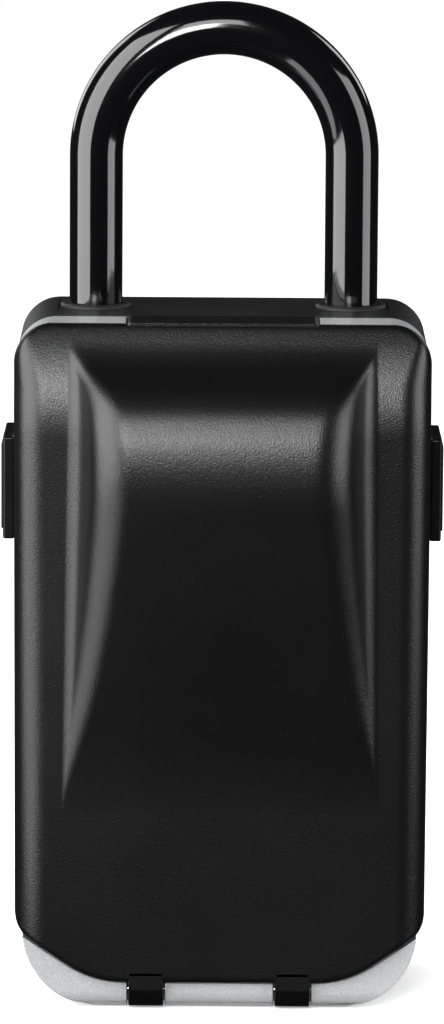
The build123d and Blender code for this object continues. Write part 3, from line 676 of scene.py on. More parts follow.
class Plan:
    """Geometry Nodes tree with named inputs that becomes one plain mesh."""

    KINDS = {int: "NodeSocketInt", float: "NodeSocketFloat", tuple: "NodeSocketVector"}

    def __init__(self, name: str, sizes: dict[str, Any]) -> None:
        """Start the tree.

        Args:
            name: Name of the tree and of the piece.
            sizes: Whole numbers, lengths or vectors by input name.
        """
        self.name = name
        tree = bpy.data.node_groups.new(name, "GeometryNodeTree")
        tree.interface.new_socket(
            name="Geometry", in_out="OUTPUT", socket_type="NodeSocketGeometry"
        )
        self.values: dict[str, Any] = {}
        for label, size in sizes.items():
            socket = tree.interface.new_socket(
                name=label, in_out="INPUT", socket_type=self.KINDS[type(size)]
            )
            if isinstance(size, tuple):
                self.values[socket.identifier] = [number * MM for number in size]
            else:
                self.values[socket.identifier] = size if isinstance(size, int) else size * MM
        self.w = Wiring(tree)
        self.start = self.w.add("NodeGroupInput")
        self.end = self.w.add("NodeGroupOutput")

    def size(self, label: str) -> bpy.types.NodeSocket:
        """Socket of a named input."""
        return self.start.outputs[label]

    def node(self, kind: str, inputs: dict[str, Any], **options: Any) -> bpy.types.Node:
        """Add a node and fill its inputs.

        Args:
            kind: Blender's name of the node type.
            inputs: Values or sockets by input name.
            options: Properties set on the node.

        Returns:
            The node.
        """
        made = self.w.add(kind, **options)
        for label, value in inputs.items():
            self.w.put(made.inputs[label], value)
        return made

    def point(self, x: Any, y: Any, z: Any) -> bpy.types.NodeSocket:
        """Join three numbers into a vector.

        Args:
            x: Number or socket.
            y: Number or socket.
            z: Number or socket.

        Returns:
            The vector's socket.
        """
        made = self.w.add("ShaderNodeCombineXYZ")
        for place, value in enumerate((x, y, z)):
            self.w.put(made.inputs[place], value)
        return made.outputs[0]

    def moved(self, shape: bpy.types.NodeSocket, **how: Any) -> bpy.types.NodeSocket:
        """Move or turn a shape, given its Translation or Rotation."""
        return self.node("GeometryNodeTransform", {"Geometry": shape, **how}).outputs["Geometry"]

    def joined(self, shapes: Iterable[bpy.types.NodeSocket]) -> bpy.types.NodeSocket:
        """Join several shapes into one.

        Args:
            shapes: Their sockets.

        Returns:
            The joined geometry's socket.
        """
        made = self.w.add("GeometryNodeJoinGeometry")
        for shape in shapes:
            self.w.join(shape, made.inputs[0])
        return made.outputs[0]

    def piece(self, shape: bpy.types.NodeSocket, material: bpy.types.Material) -> bpy.types.Object:
        """Close the tree and turn its result into a piece.

        Args:
            shape: The finished geometry's socket.
            material: The piece's material.

        Returns:
            The piece, with a plain mesh and no modifier.
        """
        solid = self.node("GeometryNodeRealizeInstances", {"Geometry": shape})
        dress = self.node(
            "GeometryNodeSetMaterial", {"Geometry": solid.outputs[0], "Material": material}
        )
        self.w.join(dress.outputs[0], self.end.inputs[0])
        made = place_object(self.name, bpy.data.meshes.new(self.name), material)
        modifier = made.modifiers.new(self.name, "NODES")
        modifier.node_group = self.w.tree
        for identifier, value in self.values.items():
            modifier[identifier] = value
        bake(made)
        work = bmesh.new()
        work.from_mesh(made.data)
        bmesh.ops.remove_doubles(work, verts=work.verts, dist=WELD)
        bmesh.ops.recalc_face_normals(work, faces=work.faces)
        made.data = mesh_from(self.name, work)
        made.data.materials.append(material)
        return made


@dataclass(frozen=True)
class Screws:
    """Four cross-head screws at the corners of an upright rectangle."""

    spread: float
    height: float
    middle: Point
    length: float
    turn: float
    head: float = 2.2
    rise: float = 0.7
    shank: float = 1.05
    cross_reach: float = 1.25
    cross_width: float = 0.3
    head_sides: int = 28
    shank_sides: int = 20
    edge: float = 0.12
    slot: str = "pin_steel"

    def laid_out(self, name: str) -> tuple[Plan, bpy.types.NodeSocket]:
        """Lay out the screws, each made standing and then turned by the turn about x.

        Args:
            name: Name of the piece.

        Returns:
            The plan and its geometry.
        """
        plan = Plan(
            name,
            {
                "Spread": self.spread, "Height": self.height, "Middle": self.middle,
                "Head": self.head, "Rise": self.rise, "Shank": self.shank, "Length": self.length,
            },
        )
        grid = {"Size X": plan.size("Spread"), "Size Y": plan.size("Height")}
        corners = plan.node("GeometryNodeMeshGrid", {**grid, "Vertices X": 2, "Vertices Y": 2})
        places = plan.moved(corners.outputs[0], Rotation=(math.pi / 2, 0.0, 0.0))
        places = plan.moved(places, Translation=plan.size("Middle"))
        screw = plan.joined([self._head(plan), self._shank(plan)])
        row = plan.node(
            "GeometryNodeInstanceOnPoints",
            {
                "Points": places, "Instance": screw,
                "Rotation": (math.radians(self.turn), 0.0, 0.0),
            },
        )
        return plan, row.outputs[0]

    def _head(self, plan: Plan) -> bpy.types.NodeSocket:
        """One head with its cross.

        Args:
            plan: The plan that it is part of.

        Returns:
            The head's geometry.
        """
        size, rise = plan.size("Head"), plan.size("Rise")
        half = plan.w.math("MULTIPLY", rise, 0.5)
        disc = plan.node(
            "GeometryNodeMeshCylinder",
            {"Vertices": self.head_sides, "Radius": size, "Depth": rise},
        )
        lifted = plan.moved(disc.outputs[0], Translation=plan.point(0.0, 0.0, half))
        wide = plan.w.math("MULTIPLY", size, self.cross_reach)
        narrow = plan.w.math("MULTIPLY", size, self.cross_width)
        cross = []
        for x, y in ((wide, narrow), (narrow, wide)):
            bar = plan.node("GeometryNodeMeshCube", {"Size": plan.point(x, y, rise)})
            cross.append(plan.moved(bar.outputs[0], Translation=plan.point(0.0, 0.0, rise)))
        recessed = plan.node(
            "GeometryNodeMeshBoolean",
            {"Mesh 1": lifted, "Mesh 2": plan.joined(cross)},
            operation="DIFFERENCE",
        )
        return recessed.outputs[0]

    def _shank(self, plan: Plan) -> bpy.types.NodeSocket:
        """One plain shank below the head.

        Args:
            plan: The plan that it is part of.

        Returns:
            The shank's geometry.
        """
        length = plan.size("Length")
        shank = plan.node(
            "GeometryNodeMeshCylinder",
            {"Vertices": self.shank_sides, "Radius": plan.size("Shank"), "Depth": length},
        )
        below = plan.w.math("MULTIPLY", length, -0.5)
        return plan.moved(shank.outputs[0], Translation=plan.point(0.0, 0.0, below))


@dataclass(frozen=True)
class Ribs:
    """Equal grip ribs in a row: how many, the first one's middle, the step and the size."""

    count: int
    first: Point
    step: Point
    size: Point
    edge: float = 0.2
    slot: str = "lever_black"

    def laid_out(self, name: str) -> tuple[Plan, bpy.types.NodeSocket]:
        """Lay out the ribs.

        Args:
            name: Name of the piece.

        Returns:
            The plan and its geometry.
        """
        plan = Plan(
            name, {"Count": self.count, "First": self.first, "Step": self.step, "Size": self.size}
        )
        line = plan.node(
            "GeometryNodeMeshLine",
            {
                "Count": plan.size("Count"), "Start Location": plan.size("First"),
                "Offset": plan.size("Step"),
            },
        )
        rib = plan.node("GeometryNodeMeshCube", {"Size": plan.size("Size")})
        row = plan.node(
            "GeometryNodeInstanceOnPoints", {"Points": line.outputs[0], "Instance": rib.outputs[0]}
        )
        return plan, row.outputs[0]


@dataclass
class Workshop:
    """Makes the pieces and hands them to the frame."""

    # Nodes whose faces are split where they have more corners than this.
    SHELLS: ClassVar[tuple[str, ...]] = ("rear_housing", "rear_jacket", "door_casting")
    MANY_CORNERS: ClassVar[int] = 40
    # Distance in metres and angle within which packed facets become one.
    FACETS_JOIN: ClassVar[float] = 2e-6
    FACETS_FLAT: ClassVar[float] = 0.3

    frame: dict[str, Any]
    finishes: dict[str, bpy.types.Material]

    def seat(self, piece: bpy.types.Object, body: str, node: str) -> None:
        """Give a finished piece to its body.

        Args:
            piece: The piece.
            body: The body that it moves with.
            node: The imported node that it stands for.
        """
        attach(piece, body)
        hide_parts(node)
        LOG.info("%s rides on %s, %d faces", piece.name, body, len(piece.data.polygons))

    def copy_of(self, node: str, name: str, slot: str) -> bpy.types.Object:
        """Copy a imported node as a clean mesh.

        The wide faces of the shells are split where they are hollow, because softened edges
        would make them cross themselves.

        Args:
            node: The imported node.
            name: The new piece's name.
            slot: Its material slot.

        Returns:
            The new object.
        """
        work = bmesh.new()
        work.from_mesh(self.frame["nodes"][node].data)
        bmesh.ops.remove_doubles(work, verts=work.verts, dist=self.FACETS_JOIN)
        bmesh.ops.dissolve_limit(
            work, angle_limit=math.radians(self.FACETS_FLAT), verts=work.verts, edges=work.edges,
            use_dissolve_boundaries=False,
        )
        if node in self.SHELLS:
            wide = [face for face in work.faces if len(face.verts) > self.MANY_CORNERS]
            bmesh.ops.connect_verts_concave(work, faces=wide)
        return place_object(name, mesh_from(name, work), self.finishes[slot])

    def lay_out(self, things: Screws | Ribs, name: str, body: str, node: str) -> None:
        """Build a layout of screws or ribs as one piece.

        Args:
            things: The layout.
            name: The piece's name.
            body: The body that they move with.
            node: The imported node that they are, or are part of.
        """
        plan, shape = things.laid_out(name)
        piece = plan.piece(shape, self.finishes[things.slot])
        soften(piece, things.edge)
        self.seat(piece, body, node)

    def refine(self, node: str, name: str, body: str, slot: str, width: float) -> None:
        """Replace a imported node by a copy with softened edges, which stays in the node's box.

        Args:
            node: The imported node.
            name: The new piece's name.
            body: The body that it moves with.
            slot: Its material slot.
            width: Width of its edge rounding.
        """
        piece = self.copy_of(node, name, slot)
        soften(piece, width)
        corners = self.frame["nodes"][node].bound_box
        limits = [(min(along), max(along)) for along in zip(*corners)]
        for vert in piece.data.vertices:
            for axis, (low, high) in enumerate(limits):
                vert.co[axis] = min(max(vert.co[axis], low), high)
        self.seat(piece, body, node)


@dataclass
class Case:
    """Rear half of the case with its boot, seals and door pin."""

    edge: float = 0.25
    boot_share: float = 1.4
    part_share: float = 0.6
    seal_share: float = 0.4
    screws: Screws = Screws(36.0, 9.8, (0.0, 6.0, 125.0), length=5.4, turn=90.0)

    def build(self, shop: Workshop) -> None:
        """Build and dress the rear half.

        Args:
            shop: Where the pieces are made.
        """
        for node, name, slot, share in (
            ("rear_housing", "case_rear_half", "black_paint", self.part_share),
            ("rear_jacket", "case_boot", "boot_black", self.boot_share),
            ("shackle_seals", "leg_collars", "seal_rubber", self.part_share),
            ("door_gasket", "rim_seal", "seal_rubber", self.seal_share),
            ("door_hinge_pin", "door_pin", "pin_steel", self.part_share),
            ("bar_retainer", "bolt_plate", "plate_steel", self.part_share),
        ):
            shop.refine(node, name, "housing", slot, share * self.edge)
        shop.lay_out(self.screws, "bolt_plate_screws", "housing", "retainer_screws")


@dataclass
class Bow:
    """Steel bow with its vinyl coat, and the bar that holds it."""

    WIRES_JOIN: ClassVar[float] = 1e-5

    leg_spacing: float = 51.5
    coat_radius: float = 5.35
    setback: float = 14.25
    bend_height: float = 169.1
    coat_foot: float = 136.0
    bend_points: int = 97
    coat_sides: int = 56
    edge: float = 0.2
    ribs: Ribs = Ribs(4, (-6.0, 4.15, 101.9), (0.0, 0.0, 1.75), (9.0, 0.6, 0.8))

    def build(self, shop: Workshop) -> None:
        """Build and dress the bow.

        Args:
            shop: Where the pieces are made.
        """
        shop.refine("shackle_core", "bow_steel", "shackle", "shackle_steel", self.edge)
        self.coat(shop)
        shop.refine("lock_bar", "bow_bolt", "shackle_lock", "plate_steel", self.edge)
        shop.refine("release_tab", "bow_release", "shackle_lock", "lever_black", self.edge)
        shop.lay_out(self.ribs, "bow_release_ribs", "shackle_lock", "release_tab")

    def coat(self, shop: Workshop) -> None:
        """Follow the bow's path with a tube.

        Args:
            shop: Where the piece is made.
        """
        plan = Plan(
            "bow_coat",
            {
                "Leg spacing": self.leg_spacing, "Radius": self.coat_radius,
                "Setback": self.setback, "Bend height": self.bend_height, "Foot": self.coat_foot,
            },
        )
        setback = plan.size("Setback")
        bend = plan.size("Bend height")
        half = plan.w.math("MULTIPLY", plan.size("Leg spacing"), 0.5)
        arc = plan.node(
            "GeometryNodeCurveArc",
            {
                "Resolution": self.bend_points, "Radius": half, "Start Angle": 0.0,
                "Sweep Angle": math.pi,
            },
            mode="RADIUS",
        )
        lines = [
            plan.moved(
                arc.outputs["Curve"], Rotation=(math.pi / 2, 0.0, 0.0),
                Translation=plan.point(0.0, setback, bend),
            )
        ]
        for side in (1.0, -1.0):
            across = plan.w.math("MULTIPLY", half, side)
            foot = plan.point(across, setback, plan.size("Foot"))
            top = plan.point(across, setback, bend)
            leg = plan.node("GeometryNodeCurvePrimitiveLine", {"Start": foot, "End": top})
            lines.append(leg.outputs["Curve"])
        wires = [
            plan.node("GeometryNodeCurveToMesh", {"Curve": line}).outputs["Mesh"] for line in lines
        ]
        merge = plan.node(
            "GeometryNodeMergeByDistance",
            {"Geometry": plan.joined(wires), "Distance": self.WIRES_JOIN},
        )
        path = plan.node("GeometryNodeMeshToCurve", {"Mesh": merge.outputs[0]})
        ring = plan.node(
            "GeometryNodeCurvePrimitiveCircle",
            {"Resolution": self.coat_sides, "Radius": plan.size("Radius")},
        )
        tube = plan.node(
            "GeometryNodeCurveToMesh",
            {
                "Curve": path.outputs["Curve"], "Profile Curve": ring.outputs["Curve"],
                "Fill Caps": True,
            },
        )
        piece = plan.piece(tube.outputs["Mesh"], shop.finishes["vinyl_black"])
        shop.seat(piece, "shackle", "shackle_sleeve")


@dataclass
class Cover:
    """Flip cover: its skin with the hump, its straps and its finger tab."""

    # Outline and plane face
    width: float = 83.0
    foot_width: float = 82.2
    height: float = 138.5
    wall: float = 1.7
    y_shoulder: float = -19.25
    y_back: float = -11.45
    side_edge: float = 6.0
    side_share: float = 0.8
    side_spare: float = 1.0
    corner: float = 8.0
    top_round: float = 22.0
    top_radius: float = 38.0
    foot: float = 6.0
    shoulder_foot: float = 16.7
    foot_flat: float = 50.8
    foot_radii: tuple[float, ...] = (20.0, 5.0)
    foot_side: Flat = (0.05, 40.0)
    foot_inset: float = 0.001
    foot_slant: float = 0.87

    # Hump, with the bends and roundings of its profile from the foot up
    hump_rise: float = 10.98
    hump_foot_width: float = 63.4
    hump_top_width: float = 61.6
    hump_foot: float = 48.5
    hump_top: float = 132.0
    hump_bends: tuple[Flat, ...] = ((111.1, 11.91), (124.8, 8.0))
    hump_radii: tuple[float, ...] = (90.0, 35.0, 14.0, 7.0)
    hump_reach: Flat = (-0.2, 1.05)

    # Side wall of the hump: angles, how they fall with the rise, and shares of the crest
    wall_steep: float = 78.0
    wall_fall: float = 0.42
    wall_crease: float = 15.0
    wall_crease_share: float = 0.4
    wall_hollow: float = 0.56
    wall_least: Flat = (0.02, 0.001)
    crease_round: float = 2.2

    # Points of the skin across each part of it, and upright
    hump_steps: int = 40
    wall_zone: float = 6.0
    wall_steps: tuple[int, int] = (16, 10)
    crease_steps: int = 3
    flat_steps: int = 13
    shoulder_steps: int = 9
    side_steps: int = 15
    upright_steps: int = 136
    skin_crease: float = 40.0

    # Rim, with its rows on the face and behind it
    rim_edge: float = 0.9
    rim_rows: tuple[float, ...] = (0.0, 0.04, 0.15, 0.33, 0.6, 0.95, 1.5)
    rim_shares: tuple[float, ...] = (0.3, 0.7, 1.0)
    rim_behind: float = 0.4

    # Straps round the hinge
    hinge_y: float = -14.25
    hinge_z: float = 3.7
    strap_spacing: float = 29.4
    strap_width: float = 7.0
    strap_radius: float = 3.4
    strap_top: float = 1.5
    strap_shoulder: Flat = (0.25, 1.2)
    strap_front_foot: float = 0.7
    strap_lead: Flat = (2.95, 1.7)
    strap_arc: tuple[int, int, int] = (210, 240, 14)
    strap_edge: float = 0.3

    # Finger tab
    tab_half: float = 19.0
    tab_over: float = 0.3
    tab_thick: float = 2.0
    tab_cut: Flat = (0.5, 1.5)
    tab_round: float = 0.6
    tab_ends: Flat = (-12.45, -2.1)
    tab_edge: float = 0.25

    def __post_init__(self) -> None:
        """Work out the wall's columns, the hump's profile and the lower outline."""
        self._spread = self._wall_columns()
        corners = [
            (0.0, 0.0), (self.hump_foot, 0.0), *self.hump_bends,
            (self.hump_top, 0.0), (2 * self.height, 0.0),
        ]
        profile = filleted(corners, self.hump_radii, self.hump_steps)
        peak = max(rise for _, rise in profile)
        self._profile = [(z, rise * self.hump_rise / peak) for z, rise in profile]
        self._profile_levels = [z for z, _ in self._profile]
        half_foot = self.foot_width / 2
        out, side_top = self.foot_side
        self._foot_line = filleted(
            [
                (0.0, self.foot), (self.foot_flat / 2, self.foot),
                (half_foot, self.shoulder_foot), (half_foot + out, side_top),
            ],
            self.foot_radii,
        )

    def _wall_columns(self) -> list[float]:
        """Places of the skin's points across the hump's wall where it is highest.

        Returns:
            Shares of the wall's run, from 0 at the crest to 1 at the foot.
        """
        crease, steep, crest, run = self._wall_form(self.hump_rise)
        hollow = self.wall_hollow * crest
        start = self.crease_round * math.sin(crease)
        crest_steps, hollow_steps = self.wall_steps
        shares = [
            crest * math.sin(steep * step / crest_steps) / run for step in range(crest_steps + 1)
        ]
        for step in range(1, hollow_steps + 1):
            turn = crease + (steep - crease) * (1 - step / hollow_steps)
            outer = start + hollow * (math.sin(turn) - math.sin(crease))
            shares.append(1 - outer / run)
        for step in reversed(range(self.crease_steps)):
            shares.append(
                1 - step / self.crease_steps * self.crease_round * math.sin(crease) / run
            )
        return shares

    def half_width(self, z: float) -> float:
        """Half the cover's width at height z."""
        return (self.foot_width + (self.width - self.foot_width) * z / self.height) / 2

    def rise(self, z: float) -> float:
        """How far the hump stands out at a height.

        Args:
            z: The height.

        Returns:
            The rise over the cover's plane face.
        """
        place = min(max(bisect(self._profile_levels, z), 1), len(self._profile) - 1)
        (z0, rise0), (z1, rise1) = self._profile[place - 1], self._profile[place]
        return rise0 + (rise1 - rise0) * (z - z0) / (z1 - z0)

    def _wall_form(self, rise: float) -> tuple[float, float, float, float]:
        """Shape of the hump's side wall, which hollows out from a crease and rounds over.

        Args:
            rise: The hump's rise.

        Returns:
            The crease's angle, the steepest angle, the crest's radius and the wall's run.
        """
        least_rise, least_crest = self.wall_least
        fall = (max(rise, least_rise) / self.hump_rise) ** self.wall_fall
        steep = math.radians(self.wall_steep) * fall
        crease = min(math.radians(self.wall_crease), self.wall_crease_share * steep)
        share = self.wall_hollow * (math.cos(crease) - math.cos(steep)) + 1 - math.cos(steep)
        start_rise = self.crease_round * (1 - math.cos(crease))
        crest = max(rise - start_rise, least_crest) / share
        run = crest * (self.wall_hollow * (math.sin(steep) - math.sin(crease)) + math.sin(steep))
        return crease, steep, crest, run + self.crease_round * math.sin(crease)

    def _foot_half(self, z: float) -> float:
        """Half the hump's width over its foot line at a height.

        Args:
            z: The height.

        Returns:
            Half the width.
        """
        low, high = self.hump_reach
        share = min(max((z - self.hump_foot) / (self.hump_top - self.hump_foot), low), high)
        return (self.hump_foot_width + (self.hump_top_width - self.hump_foot_width) * share) / 2

    def foot_at(self, x: float) -> float:
        """Height of the lower outline at a distance from the middle.

        Args:
            x: Distance from the middle.

        Returns:
            The outline's height there.
        """
        for (x0, z0), (x1, z1) in zip(self._foot_line, self._foot_line[1:]):
            if x0 <= x <= x1 and x1 > x0:
                return z0 + (z1 - z0) * (x - x0) / (x1 - x0)
        return self.shoulder_foot + 1.0

    def top_at(self, x: float) -> float:
        """Height of the upper outline at a distance from the middle.

        Args:
            x: The distance.

        Returns:
            The outline's height there.
        """
        over = x - (self.width / 2 - self.corner)
        if over <= 0:
            return self.height
        return self.height - self.corner + math.sqrt(max(0.0, self.corner**2 - over**2))

    def depth(self, x: float, z: float) -> float:
        """Depth of the cover's face at a point of the front view.

        Args:
            x: Distance from the middle.
            z: Height.

        Returns:
            The depth, negative towards the front.
        """
        half = self.half_width(z)
        climb = min(max(z - self.height + self.top_round, 0.0), self.top_round)
        y_face = self.y_shoulder + self._round(self.top_radius - climb, self.top_radius)
        side_room = self.y_back + self.side_spare - y_face
        side_edge = min(self.side_edge, self.side_share * side_room)
        y = y_face - self._ramp(self._foot_half(z) - x, self.rise(z))
        y += self._round(max(half - x, 0.0), side_edge)
        over_x, over_z = x - (half - self.corner), z - (self.height - self.corner)
        if over_x > 0 and over_z > 0:
            below = max(self.corner - math.hypot(over_x, over_z), 0.0)
        else:
            below = self.height - z
        y += self._round(below, self.rim_edge)
        y += self._round(self.foot_slant * max(z - self.foot_at(x), 0.0), self.rim_edge)
        return min(y, self.y_back - self.rim_behind)

    @staticmethod
    def _round(inside: float, radius: float) -> float:
        """Depth of a quarter round at a distance inside its edge.

        Args:
            inside: The distance.
            radius: The quarter round's radius.

        Returns:
            How far the face has fallen away there.
        """
        if inside >= radius:
            return 0.0
        return radius - math.sqrt(radius**2 - (radius - inside) ** 2)

    def _ramp(self, inward: float, rise: float) -> float:
        """Height of the hump's side wall over the cover's plane face.

        Args:
            inward: Distance inward from the wall's foot.
            rise: The hump's rise at that height.

        Returns:
            The height.
        """
        crease, steep, crest, run = self._wall_form(rise)
        if inward <= 0:
            return 0.0
        if inward >= run:
            return rise
        start = self.crease_round * math.sin(crease)
        if inward < start:
            return self._arc(self.crease_round, inward)
        over = run - inward
        if over < crest * math.sin(steep):
            return rise - self._arc(crest, over)
        hollow = self.wall_hollow * crest
        along = inward - start + hollow * math.sin(crease)
        low = self.crease_round * (1 - math.cos(crease)) - hollow * (1 - math.cos(crease))
        return low + self._arc(hollow, along)

    @staticmethod
    def _arc(radius: float, along: float) -> float:
        """Rise of a circle of a radius at a distance along its tangent."""
        return radius - math.sqrt(max(radius**2 - along**2, 0.0))

    def build(self, shop: Workshop) -> None:
        """Build and dress the cover.

        Args:
            shop: Where the pieces are made.
        """
        self.skin(shop)
        self.straps(shop)
        self.finger_tab(shop)

    def _columns(self, z: float) -> list[float]:
        """Places of the skin's points across half the cover at height z.

        Args:
            z: Height.

        Returns:
            Distances from the middle, which follow the hump's wall.
        """
        half = self.half_width(z)
        foot_half = self._foot_half(z)
        zone = max(self._wall_form(self.rise(z))[3], self.wall_zone)
        inner = foot_half - zone
        places = [inner * step / self.flat_steps for step in range(self.flat_steps)]
        places += [foot_half - zone * (1 - share) for share in self._spread]
        shoulder = half - self.side_edge - foot_half
        for step in range(1, self.shoulder_steps):
            places.append(foot_half + shoulder * step / self.shoulder_steps)
        for step in range(self.side_steps + 1):
            turn = math.radians(90 / self.side_steps * step)
            places.append(half - self.side_edge * (1 - math.sin(turn)))
        return places

    def _levels(self, x_low: float, x_high: float) -> list[float]:
        """Heights of the skin's points on one upright line.

        Args:
            x_low: The line's distance from the middle at the foot.
            x_high: Its distance at the top.

        Returns:
            The heights, from the foot up.
        """
        inside = min(x_low, self.foot_width / 2 - self.foot_inset)
        low, high = self.foot_at(inside), self.top_at(x_high)
        start, stop = low + self.rim_rows[-1], high - self.rim_rows[-1]
        levels = [low + row for row in self.rim_rows]
        for step in range(1, self.upright_steps):
            levels.append(start + (stop - start) * step / self.upright_steps)
        levels += [high - row for row in reversed(self.rim_rows)]
        return levels

    def _grid(self, work: bmesh.types.BMesh) -> list[list[bmesh.types.BMVert]]:
        """Set the skin's points on upright lines and face them.

        Args:
            work: The bmesh that gets them.

        Returns:
            The points of each line from the foot up, the lines from left to right.
        """
        lows, highs = self._columns(self.foot), self._columns(self.height)
        count = len(lows)
        grid = []
        for place in range(1 - count, count):
            column, side = abs(place), math.copysign(1.0, place)
            line = []
            for z in self._levels(lows[column], highs[column]):
                across = self._columns(z)[column]
                point = Vector((side * across, self.depth(across, z), z))
                line.append(work.verts.new(point * MM))
            grid.append(line)
        for left, right in zip(grid, grid[1:]):
            for row in range(len(left) - 1):
                work.faces.new((left[row], right[row], right[row + 1], left[row + 1]))
        return grid

    def _rim(self, work: bmesh.types.BMesh, grid: list[list[bmesh.types.BMVert]]) -> None:
        """Lead the skin's outline straight back.

        Args:
            work: The bmesh that gets the rim.
            grid: The skin's points.
        """
        ring = list(grid[0]) + [line[-1] for line in grid[1:]] + list(reversed(grid[-1][:-1]))
        ring += [line[0] for line in reversed(grid[1:-1])]
        fronts = [vert.co.copy() for vert in ring]
        for share in self.rim_shares:
            fresh = []
            for front in fronts:
                y = front.y + (self.y_back * MM - front.y) * share
                fresh.append(work.verts.new((front.x, y, front.z)))
            for step in range(len(ring)):
                follow = (step + 1) % len(ring)
                work.faces.new((ring[step], ring[follow], fresh[follow], fresh[step]))
            ring = fresh

    def skin(self, shop: Workshop) -> None:
        """Form the cover's skin on a grid and give it its wall.

        Args:
            shop: Where the piece is made.
        """
        black = shop.finishes["cover_black"]
        work = bmesh.new()
        self._rim(work, self._grid(work))
        bmesh.ops.remove_doubles(work, verts=work.verts, dist=WELD)
        bmesh.ops.recalc_face_normals(work, faces=work.faces)
        front_face = min(work.faces, key=lambda face: face.calc_center_median().y)
        if front_face.normal.y > 0:
            bmesh.ops.reverse_faces(work, faces=work.faces)
        piece = place_object("cover_skin", mesh_from("cover_skin", work, self.skin_crease), black)
        wall = piece.modifiers.new("wall", "SOLIDIFY")
        wall.thickness = self.wall * MM
        wall.offset = -1.0
        wall.use_even_offset = False
        wall.use_quality_normals = True
        bake(piece)
        work = bmesh.new()
        work.from_mesh(piece.data)
        piece.data = mesh_from("cover_skin", work, self.skin_crease)
        piece.data.materials.append(black)
        shop.seat(piece, "cover", "weather_cover")

    def straps(self, shop: Workshop) -> None:
        """Build the two hinge straps below the skin.

        Args:
            shop: Where the piece is made.
        """
        knuckle_top = self.hinge_z + self.strap_radius
        shoulder_y, shoulder_z = self.strap_shoulder
        lead_y, lead_z = self.strap_lead
        outline = [
            (self.hinge_y, knuckle_top),
            (self.y_shoulder + self.wall, knuckle_top + self.strap_top),
            (self.y_shoulder + shoulder_y, knuckle_top + self.strap_top),
            (self.y_shoulder, knuckle_top + shoulder_z),
            (self.y_shoulder, self.hinge_z + self.strap_front_foot),
            (self.hinge_y - lead_y, self.hinge_z - lead_z),
        ]
        first, sweep, steps = self.strap_arc
        for step in range(1, steps):
            turn = math.radians(first + sweep * step / steps)
            y = self.hinge_y + self.strap_radius * math.cos(turn)
            outline.append((y, self.hinge_z + self.strap_radius * math.sin(turn)))
        work = bmesh.new()
        half = self.strap_width / 2
        for side in (-1, 1):
            middle = side * self.strap_spacing / 2
            prism(work, outline, 0, middle - half, middle + half)
        self._black_part(shop, "cover_straps", work, self.strap_edge)

    def finger_tab(self, shop: Workshop) -> None:
        """Build the finger tab on the cover's top edge.

        Args:
            shop: Where the piece is made.
        """
        top = self.height + self.tab_over
        cut_x, cut_z = self.tab_cut
        right = [
            (self.tab_half - cut_x, top - self.tab_thick), (self.tab_half, top - cut_z),
            (self.tab_half, top - self.tab_round), (self.tab_half - self.tab_round, top),
        ]
        left = [(-x, z) for x, z in reversed(right)]
        work = bmesh.new()
        prism(work, right + left, 1, *self.tab_ends)
        self._black_part(shop, "cover_tab", work, self.tab_edge)

    @staticmethod
    def _black_part(shop: Workshop, name: str, work: bmesh.types.BMesh, edge: float) -> None:
        """Soften a moulded part of the cover and seat it.

        Args:
            shop: Where the piece is made.
            name: The piece's name.
            work: Its bmesh, which is freed.
            edge: Width of its edge rounding.
        """
        piece = place_object(name, mesh_from(name, work), shop.finishes["cover_black"])
        soften(piece, edge)
        shop.seat(piece, "cover", "weather_cover")


